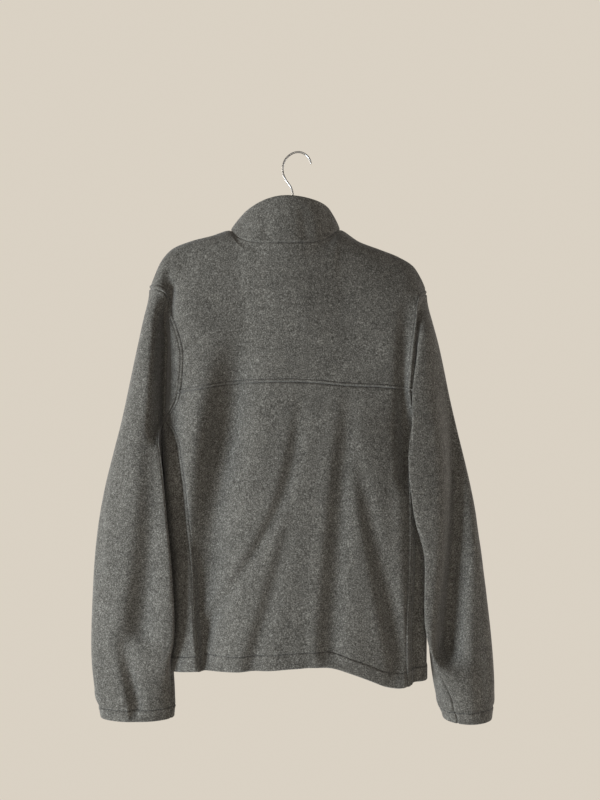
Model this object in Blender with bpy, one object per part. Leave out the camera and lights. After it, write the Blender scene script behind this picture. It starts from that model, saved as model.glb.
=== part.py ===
"""Fleece zip jacket on a hanger, as separate closed solids.

The jacket hangs zipped on a hanger whose hook rests on a pin. The origin is where the pin carries the hook, +Z is up,
the wearer's left is +X, the back of the jacket faces +Y and its zip faces -Y. Lengths in the tables are millimetres.
Each cut piece is a grid of points on the outer face of the cloth, worked out from its seam lines, and becomes a wall
of cloth with a small gap to its neighbours along every seam.
"""

import math

import bmesh
import bpy
import numpy as np

MM = 0.001

# Driving dimensions, in millimetres.
CLOTH = 2.5  # fleece, one layer
COLLAR_CLOTH = 4.5  # collar, two layers
HEM_CLOTH = 4.8  # turned-up hem and cuffs, two layers
HEM_HEIGHT = 23.5
SEAM_GAP = 0.3
NORMAL_SMOOTHING = 2
RIM_ORDER = np.array([0.37, 0.21, 1.0])  # a direction no seam runs square to, by which both its edges are halved
ZIP_SLOT = 7.0  # between the two front edges
CREST_RADIUS = 9.5  # the cloth rounds over the hanger's top edge
CREST_RADIUS_NECK = 23.0  # wider beside the collar
CREST_NARROWS_IN = 38.0
CHEST_DEPTH = 48.0  # of the back below the shoulders, behind the shoulder line
SHOULDER_SLOPE = 150.0  # height over which the cloth comes out to that depth

# Shares of the grid rows: from the shoulder line or the neck to the yoke seam's height, and from there to the hem.
UPPER_ROWS = np.array([0, 0.012, 0.032, 0.06, 0.10, 0.17, 0.27, 0.39, 0.53, 0.69, 0.85, 1.0])
NECK_ROWS = np.array([0, 0.03, 0.06, 0.095, 0.14, 0.20, 0.29, 0.40, 0.54, 0.70, 0.85, 1.0])
BODY_LENGTH = 436.0
ARMPIT_SHARE = 0.13
HEM_SHARE = 1.0 - HEM_HEIGHT / BODY_LENGTH
LOWER_ROWS = np.array([0, 0.035, 0.07, 0.10, ARMPIT_SHARE, 0.145, 0.17, 0.21, 0.28, 0.36, 0.44, 0.52, 0.60, 0.68,
                       0.76, 0.84, 0.90, HEM_SHARE, HEM_SHARE + 0.004, 1.0])
ARMPIT_ROW = 4
HEM_ROW = 17
SHOULDER_SHARES = np.array([0, 0.045, 0.10, 0.17, 0.27, 0.42, 0.60, 0.80, 1.0])  # columns, from sleeve to neck
NECK_COLUMNS = 12
BACK_NECK_FROM = 0.30
BACK_NECK_TO = 0.69
FRONT_NECK_FROM = 0.57
BACK_NECK_BLEND = 0.08  # share of the width over which the rows close up beside the neck
FRONT_NECK_BLEND = 0.15
RELAX_ROUNDS = 14  # evens out the fronts and the yoke at the corners of the neck
RELAX_REACH = 0.10
SIDE_COLUMNS = 6
SIDE_SWING = 0.8  # below 1 the side panel turns off the back and the front more sharply
SIDE_LIFT = 0.7
COLLAR_ROWS = np.array([0, 0.14, 0.38, 0.62, 0.84, 1.0])
SLEEVE_ROWS = np.array([0, 0.012, 0.028, 0.045, 0.064, 0.088, 0.12, 0.17, 0.24, 0.31, 0.38, 0.45, 0.52, 0.59,
                        0.66, 0.73, 0.80, 0.87, 0.925, 0.961, 0.966, 1.0])
CUFF_ROW = 19

# Shoulder lines over the hanger, from the sleeve to the neck (x, y, z).
SHOULDER_LEFT = [(237.4, 0, -215.3), (232.7, -1, -202), (224.8, -1, -184), (215.3, -1, -166), (204.2, -1, -154),
                 (180.4, -1, -142.5), (156.7, -1, -135.4), (133, -1, -129.5), (108.1, 0, -122.5)]
SHOULDER_RIGHT = [(-202.6, 0, -223.2), (-198.8, -1, -207), (-190.5, -1, -190.5), (-182.1, -1, -179.7),
                  (-172.6, -1, -172), (-159.9, -1, -165.2), (-144.1, -1, -158.4), (-120.3, -1, -149.8),
                  (-96.6, -1, -140.8), (-80.8, -1, -131), (-64.6, 0, -121.3)]

NECK_BRIDGE = [(-40, -112), (15, -102), (75, -112)]  # the shoulder line carried on across the neck (x, z)

# Armholes, from the shoulder line to the top of the side panel; the first part ends at the yoke seam's height.
ARMHOLE_BACK_LEFT = [
    [(237.4, 0, -215.3), (221.2, 20, -218.9), (209, 18, -224.5), (206.5, 6, -233), (204.5, 9, -247.9),
     (199.7, 18, -269.3), (190.6, 26, -290), (184.6, 30, -313.7), (184.4, 31, -342), (188.6, 29.2, -380.2)],
    [(188.6, 29.2, -380.2), (191.4, 27.5, -390), (197.8, 23, -403.4), (206, 15, -414), (210.4, 9, -422.4)]]
ARMHOLE_FRONT_LEFT = [
    [(237.4, 0, -215.3), (228, -15, -219.5), (214, -24, -230), (200, -30, -255), (190, -34, -290),
     (185, -36, -330), (187, -35, -370)],
    [(187, -35, -370), (193, -30, -392), (202, -20, -411), (209, -11, -424)]]
ARMHOLE_BACK_RIGHT = [
    [(-202.6, 0, -223.2), (-189.3, 24, -232.8), (-183.2, 34, -252.5), (-181.2, 38, -277.4), (-177.8, 40, -306.7),
     (-174, 41, -345), (-172.8, 36.4, -376.4)],
    [(-172.8, 36.4, -376.4), (-176, 29, -398), (-184, 19, -421), (-192, 9, -435)]]
ARMHOLE_FRONT_RIGHT = [
    [(-202.6, 0, -223.2), (-194, -15, -227.5), (-182, -24, -238), (-171, -30, -262), (-163, -34, -297),
     (-160, -36, -337), (-163, -35, -375)],
    [(-163, -35, -375), (-170, -30, -402), (-181, -20, -424), (-191, -11, -438)]]

# Side panel seams from the armhole to the hem, and the outermost line of each side panel.
SEAM_BACK_LEFT = [(210.4, 9, -422.4), (204, 16, -431), (197, 22, -440), (191.5, 27, -455), (187, 29.5, -480),
                  (180, 30, -530), (176, 30, -575), (168.4, 31, -638), (163.7, 32, -731), (157.3, 33, -811)]
SEAM_FRONT_LEFT = [(209, -11, -424), (196, -24, -440), (187, -31, -477), (180, -33, -530), (175, -34, -600),
                   (168, -34, -680), (163, -34, -750), (160, -33, -824)]
SEAM_BACK_RIGHT = [(-192, 9, -435), (-184, 20, -449), (-178.5, 27, -480), (-176, 30, -530), (-176.2, 31, -592),
                   (-174.6, 31, -669), (-172, 32, -731), (-171.6, 32, -793), (-173, 32, -832.6)]
SEAM_FRONT_RIGHT = [(-191, -11, -438), (-183, -24, -455), (-178, -31, -490), (-176, -33, -560), (-175, -34, -660),
                    (-173, -34, -740), (-174, -33, -831)]
SIDE_LEFT = [(214, -1, -429), (214, 0, -446), (214.5, 0, -475), (211.5, 0, -515), (208.5, -8, -575), (205, -14, -640),
             (203, -15, -720), (199, -8, -822)]
SIDE_RIGHT = [(-198, -1, -443), (-201, 0, -460), (-203.5, 0, -490), (-204, 0, -560), (-203, 0, -640),
              (-202.5, 0, -720), (-202, 0, -830)]

# Cross lines of the back: the yoke seam and the lower edge, from the left to the right.
YOKE_SEAM = [(188.6, 29.2, -380.2), (166.3, 38, -376.4), (105.2, 46, -366.6), (50, 50, -363.6), (-1.6, 50, -363.6),
             (-77.9, 48, -369.5), (-140, 42, -372.6), (-172.8, 36.4, -376.4)]
HEM_BACK = [(157.3, 33, -811), (130, 46, -807.8), (90, 55, -804), (44, 58, -801.3), (-1.6, 58, -797.8),
            (-54.8, 56, -799), (-80, 55, -807), (-108, 52, -818), (-135, 45, -829.9), (-155, 38, -834.1),
            (-173, 32, -832.6)]

# Cross lines of the fronts at the same heights, from the side to the zip, and the zip line from neck to hem.
ZIP_LINE = [(16, -64, -205), (14, -65, -260), (11, -64, -374), (7, -62, -480), (2, -60, -600), (-5, -56, -805)]
ZIP_CHEST_ROW = 2
CHEST_LEFT = [(187, -35, -370), (150, -48, -372), (100, -58, -373), (50, -63, -374), (11, -64, -374)]
CHEST_RIGHT = [(-163, -35, -375), (-130, -48, -375), (-90, -57, -375), (-40, -62, -374), (11, -64, -374)]
HEM_FRONT_LEFT = [(160, -33, -824), (125, -45, -819), (70, -54, -811), (30, -56, -806), (-5, -56, -805)]
HEM_FRONT_RIGHT = [(-174, -33, -831), (-140, -45, -829), (-95, -53, -818), (-45, -56, -808), (-5, -56, -805)]

# Neck: the collar stands on an oval that dips to the front.
NECK_CENTRE = (21.75, -10.0)
NECK_HALF_WIDTH = 87.75
NECK_TO_BACK = 57.0
NECK_TO_FRONT = 54.0
NECK_SIDE_Z = -120.0
NECK_BACK_DROP = 30.3
NECK_BACK_CURVE = 1.0, 1.2  # on the right the seam falls a little later
NECK_FRONT_DROP = 85.0
NECK_FRONT_CURVE = 1.5
COLLAR_TOP_CENTRE = (18.0, -10.0)
COLLAR_TOP_HALF_WIDTH = 69.0
COLLAR_TOP_TO_BACK = 48.0
COLLAR_TOP_TO_FRONT = 47.5
COLLAR_TOP_SIDE_Z = -94.0
COLLAR_TOP_BACK_RISE = 18.5
COLLAR_TOP_BACK_CURVE = 2.4, 1.1  # on the left the edge stays low for longer
COLLAR_TOP_FRONT_DROP = 44.0
COLLAR_TOP_FRONT_CURVE = 1.3
COLLAR_BULGE = 1.5
COLLAR_BULGE_FROM = 0.5  # flat beside the zip

# Sleeve sections by height: outer and inner x, back and front y, how far the back half and the front half lean to
# the body, and the turn of the whole section about the arm's line in degrees.
#                 z     outer   inner  back front lean front turn
SLEEVE_LEFT = [(-215, 237.4, 205, 22, -24, 0, 0, 0),
               (-230, 240, 210, 27, -28, 4, 0, 0),
               (-255, 245, 217, 32, -31, 8, 0, 0),
               (-300, 252.5, 221, 37, -36, 13, 0, 0),
               (-360, 265.9, 221.5, 43, -42, 15, 0, 0),
               (-420, 278, 220, 47, -46, 18, 2, 0),
               (-455, 287, 218.5, 50, -48, 28, 22, 0),
               (-529, 306, 214, 53, -48, 42, 32, 0),
               (-580, 315, 211, 53, -45, 48, 28, 0),
               (-640, 321.8, 207, 51, -42, 54, 24, 0),
               (-700, 325, 204, 47, -38, 56, 28, 8),
               (-765, 327.8, 202, 41, -34, 55, 28, 16),
               (-805, 328, 200, 34, -32, 38, 20, 20),
               (-842, 324, 196.5, 28, -29, 18, 8, 22),
               (-870, 319, 196, 27, -27, 0, 0, 22),
               (-892, 312, 198.5, 25, -24, 0, 0, 22)]
SLEEVE_RIGHT = [(-223, -202.6, -176, 26, -24, 0, 0, 0),
                (-260, -209.5, -178, 40, -30, 4, 0, 0),
                (-300, -218, -183, 46, -34, 12, 0, 0),
                (-360, -231, -192, 52, -40, 34, 0, 0),
                (-391, -237, -198, 56, -42, 44, 0, 0),
                (-420, -243.5, -204, 59, -44, 52, 2, 0),
                (-455, -252, -207.5, 61, -46, 60, 10, 0),
                (-486, -259.6, -208.5, 61, -46, 66, 20, 0),
                (-530, -270, -208.5, 60, -46, 64, 22, 0),
                (-575, -279, -208, 57, -46, 62, 22, 6),
                (-598, -283, -207, 53, -46, 57, 22, 14),
                (-621, -286.5, -206, 50, -45, 47, 22, 26),
                (-676, -292.9, -206, 46, -42, 46, 24, 38),
                (-739, -300.8, -206, 43, -40, 48, 26, 46),
                (-802, -307, -208, 39, -37, 30, 18, 52),
                (-850, -308.7, -215, 36, -34, 0, 0, 56),
                (-876, -306.5, -222, 34, -32, 0, 0, 58),
                (-893, -303, -229, 32, -29, 0, 0, 58)]
LEAN_TURN = math.radians(7.0)  # rounds off the lobe that leans to the body
LEAN_POWER = 3.2  # the higher, the narrower that lobe
TURN_SET_IN = 0.5  # share of the sleeve's length over which the turn sets in
SLEEVE_ROUND = 0.8  # how far round its section the cloth has come where it leaves the armhole, 1 at the underarm

# Rings next to the armhole seam: how far each has come from the seam to the sleeve's section, and how deep the
# crease between body and sleeve is there at the back and at the front.
#               ring: 0    1     2     3     4     5     6     7
SEAM_TO_SECTION_X = [0.0, 0.25, 0.50, 0.72, 0.86, 0.95, 1.0, 1.0]
SEAM_TO_SECTION_Y = [0.0, 0.12, 0.30, 0.52, 0.72, 0.88, 0.97, 1.0]
RING_ROUNDS = 1  # evens the rings out
UNDERARM_LEAD = 0.35  # how much sooner the cloth comes out to the section's x at the underarm
UNDERARM_FROM, UNDERARM_BLEND = 0.3, 0.15  # round the armhole, 0 top, 0.5 underarm
CREASE_LEFT_BACK = [0.0, 3.0, 8.0, 10.0, 8.0, 4.0, 1.0, 0.0]
CREASE_RIGHT_BACK = [0.0, 2.0, 5.0, 6.0, 4.0, 1.0, 0.0, 0.0]
CREASE_FRONT = [0.0, 4.0, 9.0, 11.0, 9.0, 5.0, 2.0, 0.0]
CREASE_FROM, CREASE_FULL, CREASE_LESS, CREASE_TO = 0.09, 0.18, 0.27, 0.38  # round the armhole, 0 top, 0.5 underarm

# Creases in the cloth, each a soft step or trough along a line of three points (x, z).
# Width and depth grow from the first end to the last; skew lifts a ridge on the +x side of the trough.
#              from          through        to           width     depth    skew
BACK_FOLDS = [((98, -250), (141, -510), (167, -790), (22, 26), (11, 13.0), 1.2),
              ((-5, -350), (33, -545), (149, -745), (10, 12), (2.6, 3.4), 1.6),
              ((6, -520), (36, -640), (78, -790), (10, 14), (1, 3.8), 1.6),
              ((-74, -340), (-55, -540), (-38, -770), (12, 17), (3.6, 4.6), 1.6),
              ((-74, -430), (-101, -575), (-148, -790), (10, 15), (2, 4.4), 1.6),
              ((-5, -680), (-7, -745), (-10, -830), (7, 9), (0, 2.4), 0.8),
              ((202, -165), (203, -200), (205, -262), (6, 7), (3, 12.0), 0.0),
              ((-165, -215), (-160, -380), (-166, -560), (8, 9), (6, 15.0), 0.0),
              ((-162, -430), (-165, -600), (-170, -840), (9, 11), (6, 8.0), -0.6)]
FRONT_FOLDS = [((120, -260), (140, -430), (120, -760), (14, 20), (0, 8.0), 1.0),
               ((70, -400), (78, -560), (92, -800), (11, 15), (0, 4.5), -1.4),
               ((-70, -290), (-100, -480), (-120, -790), (12, 18), (0, 7.0), -1.2),
               ((-46, -430), (-60, -600), (-66, -800), (10, 14), (0, 4.5), 1.4)]
FOLD_FADE = 0.36  # share of a crease's length over which it sets in
FOLD_END = 40.0  # length over which it runs out below its last point
FOLD_SET_IN = 0.1  # share of a panel's or sleeve's length kept free below its upper seam
BACK_MARGIN, FRONT_MARGIN, ZIP_MARGIN = 0.04, 0.08, 0.12  # shares of the width kept free beside a seam
EDGE_FADE = 10.0  # the higher, the nearer to a side line the depth of the panel's middle reaches

FOLD_FACING = 0.6  # how soon a sleeve's creases fade towards the edge seen from behind
SLEEVE_FOLDS_LEFT = [((207, -232), (213, -330), (216, -425), (7, 8), (16, 22.0), 0.0),
                     ((232, -330), (236, -500), (262, -690), (10, 20), (0, 7.0), 0.6),
                     ((286, -420), (300, -560), (306, -650), (8, 12), (0, 3.5), -0.8),
                     ((262, -850), (264, -866), (266, -880), (8, 10), (2, 5.0), 0.0)]
SLEEVE_FOLDS_RIGHT = [((-206, -270), (-231, -500), (-221, -770), (9, 11), (8, 23.0), 0.0),
                      ((-268, -640), (-276, -760), (-280, -860), (8, 12), (0, 4.0), 0.6)]
SLEEVE_FOLDS_FRONT_LEFT = [((262, -380), (262, -560), (240, -760), (12, 18), (0, 8.0), 0.6)]
SLEEVE_FOLDS_FRONT_RIGHT = [((-238, -400), (-246, -560), (-270, -760), (12, 18), (0, 8.0), -0.6)]

# Zip, slider and pull tab.
CHAIN_HALF_WIDTH = 3.0
CHAIN_DEPTH = 0.4  # below the cloth's outer face
TAPE_HALF_WIDTH = 12.0
TAPE_THICKNESS = 1.0
TAPE_NARROW = 3.1  # inside the collar only the chain's width is left
ZIP_COLLAR_SHARES = (0.25, 0.5, 0.7)  # sections of the zip up the collar
SLIDER_SHARE = 0.80  # of the way up the collar
SLIDER_HALF_WIDTH = 4.5
SLIDER_PLATE = 1.4
SLIDER_BOTTOM = -5.5
SLIDER_TOP = 5.0
BRIDGE_HALF_WIDTH = 2.2
BRIDGE_BOTTOM = 1.2
PIN_Y = -4.6
PIN_Z = 1.5
PIN_RADIUS = 0.8
LUG_INNER = 2.0
LUG_OUTER = 3.2
LUG_RADIUS = 1.8
EYE_RADIUS = 2.2
TAB_LENGTH = 28.0
TAB_HALF_WIDTH = 3.4
TAB_THICKNESS = 1.6
TAB_NECK = 1.4  # below the eye
TAB_FLARE = 2.5
HALF_ROUND_STEPS = 8

# Hanger and hook.
HANGER_THICKNESS = 11.0
HANGER_HEIGHT_MIDDLE = 24.0
HANGER_HEIGHT_END = 13.0
HANGER_CLEARANCE = 4.2  # cloth and gap between the shoulder line and the wood
HANGER_LEFT_END = 182.0
HANGER_RIGHT_END = -160.0
HANGER_MIDDLE = 12.0
END_TAPER = 0.35  # of the thickness, over the last share of each arm
END_TAPER_SHARE = 0.1
COLLAR_DIP = 6.0
COLLAR_DIP_WIDTH = 20.0
HANGER_SECTIONS = 26
HANGER_SIDES = 12
WIRE_RADIUS = 1.5
HOOK_STEPS = 40
HOOK = [(-19, -17.5), (-17.2, -11.0), (-11.5, -3.2), (0, 1.5), (11.5, -1.2), (20.5, -9), (25.2, -20), (25.2, -32),
        (20, -44), (13, -54), (10, -64), (10.5, -80), (12, -97), (12, -124)]
BORE_CLEARANCE = 0.3
BORE_OVER = 12.0  # the boring tool stands out above the wood


class Curve:
    """Smooth curve through the rows of a table, read by share of its length or by stations given for its rows."""

    def __init__(self, rows, at=None):
        self.rows = np.array(rows, float)
        if at is None:
            steps = np.linalg.norm(np.diff(self.rows, axis=0), axis=1)
            at = np.concatenate([[0.0], np.cumsum(steps)]) / steps.sum()
        self.at = np.array(at, float)
        self.slopes = np.gradient(self.rows, self.at, axis=0)

    def __call__(self, where):
        where = np.clip(np.asarray(where, float), self.at[0], self.at[-1])
        k = np.clip(np.searchsorted(self.at, where, side="right") - 1, 0, len(self.at) - 2)
        span = self.at[k + 1] - self.at[k]
        s = ((where - self.at[k]) / span)[..., None]
        span = span[..., None]
        start = (1 + 2 * s) * (1 - s) ** 2 * self.rows[k] + s * (1 - s) ** 2 * span * self.slopes[k]
        end = s * s * (3 - 2 * s) * self.rows[k + 1] + s * s * (s - 1) * span * self.slopes[k + 1]
        return start + end


def smooth(x):
    x = np.clip(x, 0.0, 1.0)
    return x * x * (3 - 2 * x)


# ---------------------------------------------------------------------------------------------- creases

def crease(folds, x, z):
    """Depth change of the cloth at x, z from every crease of a table, positive outwards."""
    total = np.zeros(np.shape(x))
    for start, through, end, widths, depths, skew in folds:
        share = np.clip((start[1] - z) / (start[1] - end[1]), 0.0, 1.0)
        middle = (start[1] - through[1]) / (start[1] - end[1])
        line = Curve([[start[0]], [through[0]], [end[0]]], at=[0.0, middle, 1.0])(share)[..., 0]
        width = widths[0] + (widths[1] - widths[0]) * share
        set_in = smooth(share / FOLD_FADE) * (1 - smooth((end[1] - z) / FOLD_END))
        depth = (depths[0] + (depths[1] - depths[0]) * share) * set_in
        off = (x - line) / width
        total += depth * (skew * off - 1.0) * np.exp(-off * off / 2)
    return total


# ---------------------------------------------------------------------------------------------- body panels

def shoulder_height(x):
    """Height of the shoulder line at x, carried on across the neck."""
    right = [(row[0], row[2]) for row in SHOULDER_RIGHT]
    left = [(row[0], row[2]) for row in SHOULDER_LEFT[::-1]]
    line = np.array(right + NECK_BRIDGE + left)
    return Curve(line[:, 1:], at=line[:, 0])(x)[..., 0]


def shoulder_rise(x, drop):
    """Share of the chest's depth reached below the shoulder line: round the hanger's edge, then down a slope."""
    from_neck = np.maximum(0.0, np.maximum(x - SHOULDER_LEFT[-1][0], SHOULDER_RIGHT[-1][0] - x))
    radius = CREST_RADIUS + (CREST_RADIUS_NECK - CREST_RADIUS) * np.exp(-((from_neck / CREST_NARROWS_IN) ** 2))
    edge = radius / CHEST_DEPTH
    turn = np.clip(drop / radius, 0.0, 1.0)
    slope = np.sin(math.pi / 2 * np.clip(drop / SHOULDER_SLOPE, 0.0, 1.0))
    return edge * np.sqrt(1 - (1 - turn) ** 2) + (1 - edge) * slope


def patch(top, bottom, left, right, across, down, from_shoulder=False):
    """Grid between four seam lines, given the share of the way across of each column and down of each point.

    In x and z the side lines reach evenly across the patch; in y they only bend its margins, and below the shoulders
    y follows the slope from the shoulder line.
    """
    reach = down[..., None]
    grid = (1 - reach) * top[None] + reach * bottom[None]
    pull = across[None, :, None]
    grid = grid + (1 - pull) * (left[:, None] - grid[:, :1]) + pull * (right[:, None] - grid[:, -1:])
    if from_shoulder:
        y = bottom[:, 1] * shoulder_rise(grid[..., 0], shoulder_height(grid[..., 0]) - grid[..., 2])
    else:
        y = (1 - down) * top[:, 1] + down * bottom[:, 1]
    y = y + (top[:, 1] - y[0]) * (1 - down) ** 3 + (bottom[:, 1] - y[-1]) * down**3
    y = (y + (1 - across) ** EDGE_FADE * (left[:, 1, None] - y[:, :1])
         + across**EDGE_FADE * (right[:, 1, None] - y[:, -1:]))
    grid[..., 1] = y
    return grid


def relaxed(grid, weight):
    """Grid whose inner points are drawn towards their neighbours in y, by the weight of their column."""
    y = grid[..., 1]
    for _ in range(RELAX_ROUNDS):
        around = (y[:-2, 1:-1] + y[2:, 1:-1] + y[1:-1, :-2] + y[1:-1, 2:]) / 4
        y[1:-1, 1:-1] += weight[1:-1] * (around - y[1:-1, 1:-1])
    return grid


def by_side(side, curves):
    """The left curve for a side of 1, the right one for -1, and a blend between them."""
    return curves[1] + (curves[0] - curves[1]) * smooth((side + 1) / 2)


def neck_oval(angle):
    """Point of the collar seam at an angle, 0 at the left, a quarter turn at the back."""
    side, back = np.cos(angle), np.sin(angle)
    y = NECK_CENTRE[1] + back * np.where(back > 0, NECK_TO_BACK, NECK_TO_FRONT)
    z = NECK_SIDE_Z - np.where(back > 0, NECK_BACK_DROP * smooth(np.abs(back) ** by_side(side, NECK_BACK_CURVE)),
                               NECK_FRONT_DROP * np.abs(back) ** NECK_FRONT_CURVE)
    return np.stack([NECK_CENTRE[0] + NECK_HALF_WIDTH * side, y, z], axis=-1)


def collar_top(angle):
    side, back = np.cos(angle), np.sin(angle)
    y = COLLAR_TOP_CENTRE[1] + back * np.where(back > 0, COLLAR_TOP_TO_BACK, COLLAR_TOP_TO_FRONT)
    z = COLLAR_TOP_SIDE_Z + np.where(
        back > 0, COLLAR_TOP_BACK_RISE * np.abs(back) ** by_side(side, COLLAR_TOP_BACK_CURVE),
        -COLLAR_TOP_FRONT_DROP * np.abs(back) ** COLLAR_TOP_FRONT_CURVE)
    return np.stack([COLLAR_TOP_CENTRE[0] + COLLAR_TOP_HALF_WIDTH * side, y, z], axis=-1)


def neck_angles():
    """Angles of the collar's columns, from the zip round the left side and back to the zip."""
    side = math.asin(-NECK_CENTRE[1] / NECK_TO_BACK)
    front = np.linspace(-math.pi / 2, side, NECK_COLUMNS // 2 + 1)
    back = np.linspace(side, math.pi - side, NECK_COLUMNS + 1)[1:]
    return front, back


def column_shares(shoulder_end):
    return SHOULDER_SHARES * shoulder_end


def upper_down(neck):
    """Row shares of each column of an upper patch; neck is 0 below the shoulder line and 1 below the collar."""
    return UPPER_ROWS[:, None] + (NECK_ROWS - UPPER_ROWS)[:, None] * neck[None]


def lower_down(columns):
    return np.repeat(LOWER_ROWS[:, None], columns, axis=1)


def seam_rows(armhole, seam):
    """Side line of a lower patch: the end of the armhole, then the side panel's seam."""
    upper = Curve(armhole)(LOWER_ROWS[:ARMPIT_ROW + 1] / ARMPIT_SHARE)
    lower = Curve(seam)((LOWER_ROWS[ARMPIT_ROW + 1:] - ARMPIT_SHARE) / (1 - ARMPIT_SHARE))
    return np.concatenate([upper, lower])


def back_grids(folds):
    front_angles, back_angles = neck_angles()
    left = Curve(SHOULDER_LEFT)(SHOULDER_SHARES)
    right = Curve(SHOULDER_RIGHT)(SHOULDER_SHARES)
    neck = neck_oval(np.concatenate([front_angles[-1:], back_angles]))
    top = np.concatenate([left[:-1], neck, right[::-1][1:]])
    neck_shares = np.linspace(BACK_NECK_FROM, BACK_NECK_TO, NECK_COLUMNS + 1)
    across = np.concatenate([column_shares(BACK_NECK_FROM)[:-1], neck_shares,
                             1 - column_shares(1 - BACK_NECK_TO)[::-1][1:]])
    blend = BACK_NECK_BLEND
    under_neck = smooth((across - BACK_NECK_FROM + blend) / blend) * smooth((BACK_NECK_TO + blend - across) / blend)
    down = upper_down(under_neck)
    yoke_line = Curve(YOKE_SEAM)(across)
    yoke = patch(top, yoke_line, Curve(ARMHOLE_BACK_LEFT[0])(down[:, 0]), Curve(ARMHOLE_BACK_RIGHT[0])(down[:, -1]),
                 across, down, from_shoulder=True)
    corners = np.exp(-((across - BACK_NECK_FROM) / RELAX_REACH) ** 2)
    corners += np.exp(-((across - BACK_NECK_TO) / RELAX_REACH) ** 2)
    yoke = relaxed(yoke, np.minimum(corners, 1.0))
    body = patch(yoke_line, Curve(HEM_BACK)(across), seam_rows(ARMHOLE_BACK_LEFT[1], SEAM_BACK_LEFT),
                 seam_rows(ARMHOLE_BACK_RIGHT[1], SEAM_BACK_RIGHT), across, lower_down(len(across)))
    margin = smooth(across / BACK_MARGIN) * smooth((1 - across) / BACK_MARGIN)
    for grid, set_in in ((yoke, smooth(down / FOLD_SET_IN)), (body, 1.0)):
        grid[..., 1] += crease(folds, grid[..., 0], grid[..., 2]) * margin * set_in
    return yoke, body


def front_grid(side, folds):
    """One front from the side seam to the zip, left (+1) or right (-1)."""
    shoulder, armhole, seam, chest, hem = {
        1: (SHOULDER_LEFT, ARMHOLE_FRONT_LEFT, SEAM_FRONT_LEFT, CHEST_LEFT, HEM_FRONT_LEFT),
        -1: (SHOULDER_RIGHT, ARMHOLE_FRONT_RIGHT, SEAM_FRONT_RIGHT, CHEST_RIGHT, HEM_FRONT_RIGHT)}[side]
    angles = neck_angles()[0][::-1]
    neck = neck_oval(angles if side > 0 else math.pi - angles)
    neck[-1] = ZIP_LINE[0]
    top = np.concatenate([Curve(shoulder)(SHOULDER_SHARES)[:-1], neck])
    across = np.concatenate([column_shares(FRONT_NECK_FROM)[:-1], np.linspace(FRONT_NECK_FROM, 1, len(neck))])
    down = upper_down(smooth((across - FRONT_NECK_FROM + FRONT_NECK_BLEND) / FRONT_NECK_BLEND))
    zip_line = Curve(ZIP_LINE, at=[-row[2] for row in ZIP_LINE])
    neck_z, chest_z, hem_z = (-ZIP_LINE[row][2] for row in (0, ZIP_CHEST_ROW, -1))
    chest_line = Curve(chest)(across)
    upper = patch(top, chest_line, Curve(armhole[0])(down[:, 0]),
                  zip_line(neck_z + down[:, -1] * (chest_z - neck_z)), across, down, from_shoulder=True)
    upper = relaxed(upper, np.exp(-((across - FRONT_NECK_FROM - RELAX_REACH / 2) / (2 * RELAX_REACH)) ** 2))
    lower = patch(chest_line, Curve(hem)(across), seam_rows(armhole[1], seam),
                  zip_line(chest_z + LOWER_ROWS * (hem_z - chest_z)), across, lower_down(len(across)))
    margin = smooth(across / FRONT_MARGIN) * smooth((1 - across) / ZIP_MARGIN)
    grid = np.concatenate([upper, lower[1:]])
    set_in = np.concatenate([smooth(down / FOLD_SET_IN), np.ones((len(LOWER_ROWS) - 1, len(across)))])
    grid[..., 1] -= crease(folds, grid[..., 0], grid[..., 2]) * margin * set_in
    return grid


def side_grid(back, front, outermost):
    """Side panel from its back seam round the side to its front seam."""
    turn = np.linspace(0, math.pi, SIDE_COLUMNS + 1)
    middle = Curve(outermost, at=[-row[2] for row in outermost])
    rows = []
    for k, (a, b) in enumerate(zip(back, front)):
        drop = k / (len(back) - 1)
        top_z, low_z = -outermost[0][2], -outermost[-1][2]
        centre = middle(top_z + (low_z - top_z) * drop)
        mean = (a + b) / 2
        swing = np.sign(np.cos(turn)) * np.abs(np.cos(turn)) ** SIDE_SWING
        lift = np.sin(turn) ** SIDE_LIFT
        rows.append(mean + swing[:, None] * (a - b) / 2 + lift[:, None] * (centre - mean))
    grid = np.array(rows)
    grid[:, 0], grid[:, -1] = back, front
    return grid


def collar_grid():
    front, back = neck_angles()
    angles = np.concatenate([front, back, math.pi - front[::-1][1:]])
    low, high = neck_oval(angles), collar_top(angles)
    low[0] = low[-1] = ZIP_LINE[0]
    high[0] = high[-1] = (high[0] + high[-1]) / 2
    out = np.stack([np.cos(angles), np.sin(angles), np.zeros(len(angles))], axis=-1)
    off_zip = smooth((np.sin(angles) + 1) / COLLAR_BULGE_FROM)
    bulge = COLLAR_BULGE * np.sin(math.pi * COLLAR_ROWS)[:, None, None] * off_zip[:, None]
    return low[None] + COLLAR_ROWS[:, None, None] * (high - low)[None] + bulge * out[None]


# ---------------------------------------------------------------------------------------------- sleeves

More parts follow.
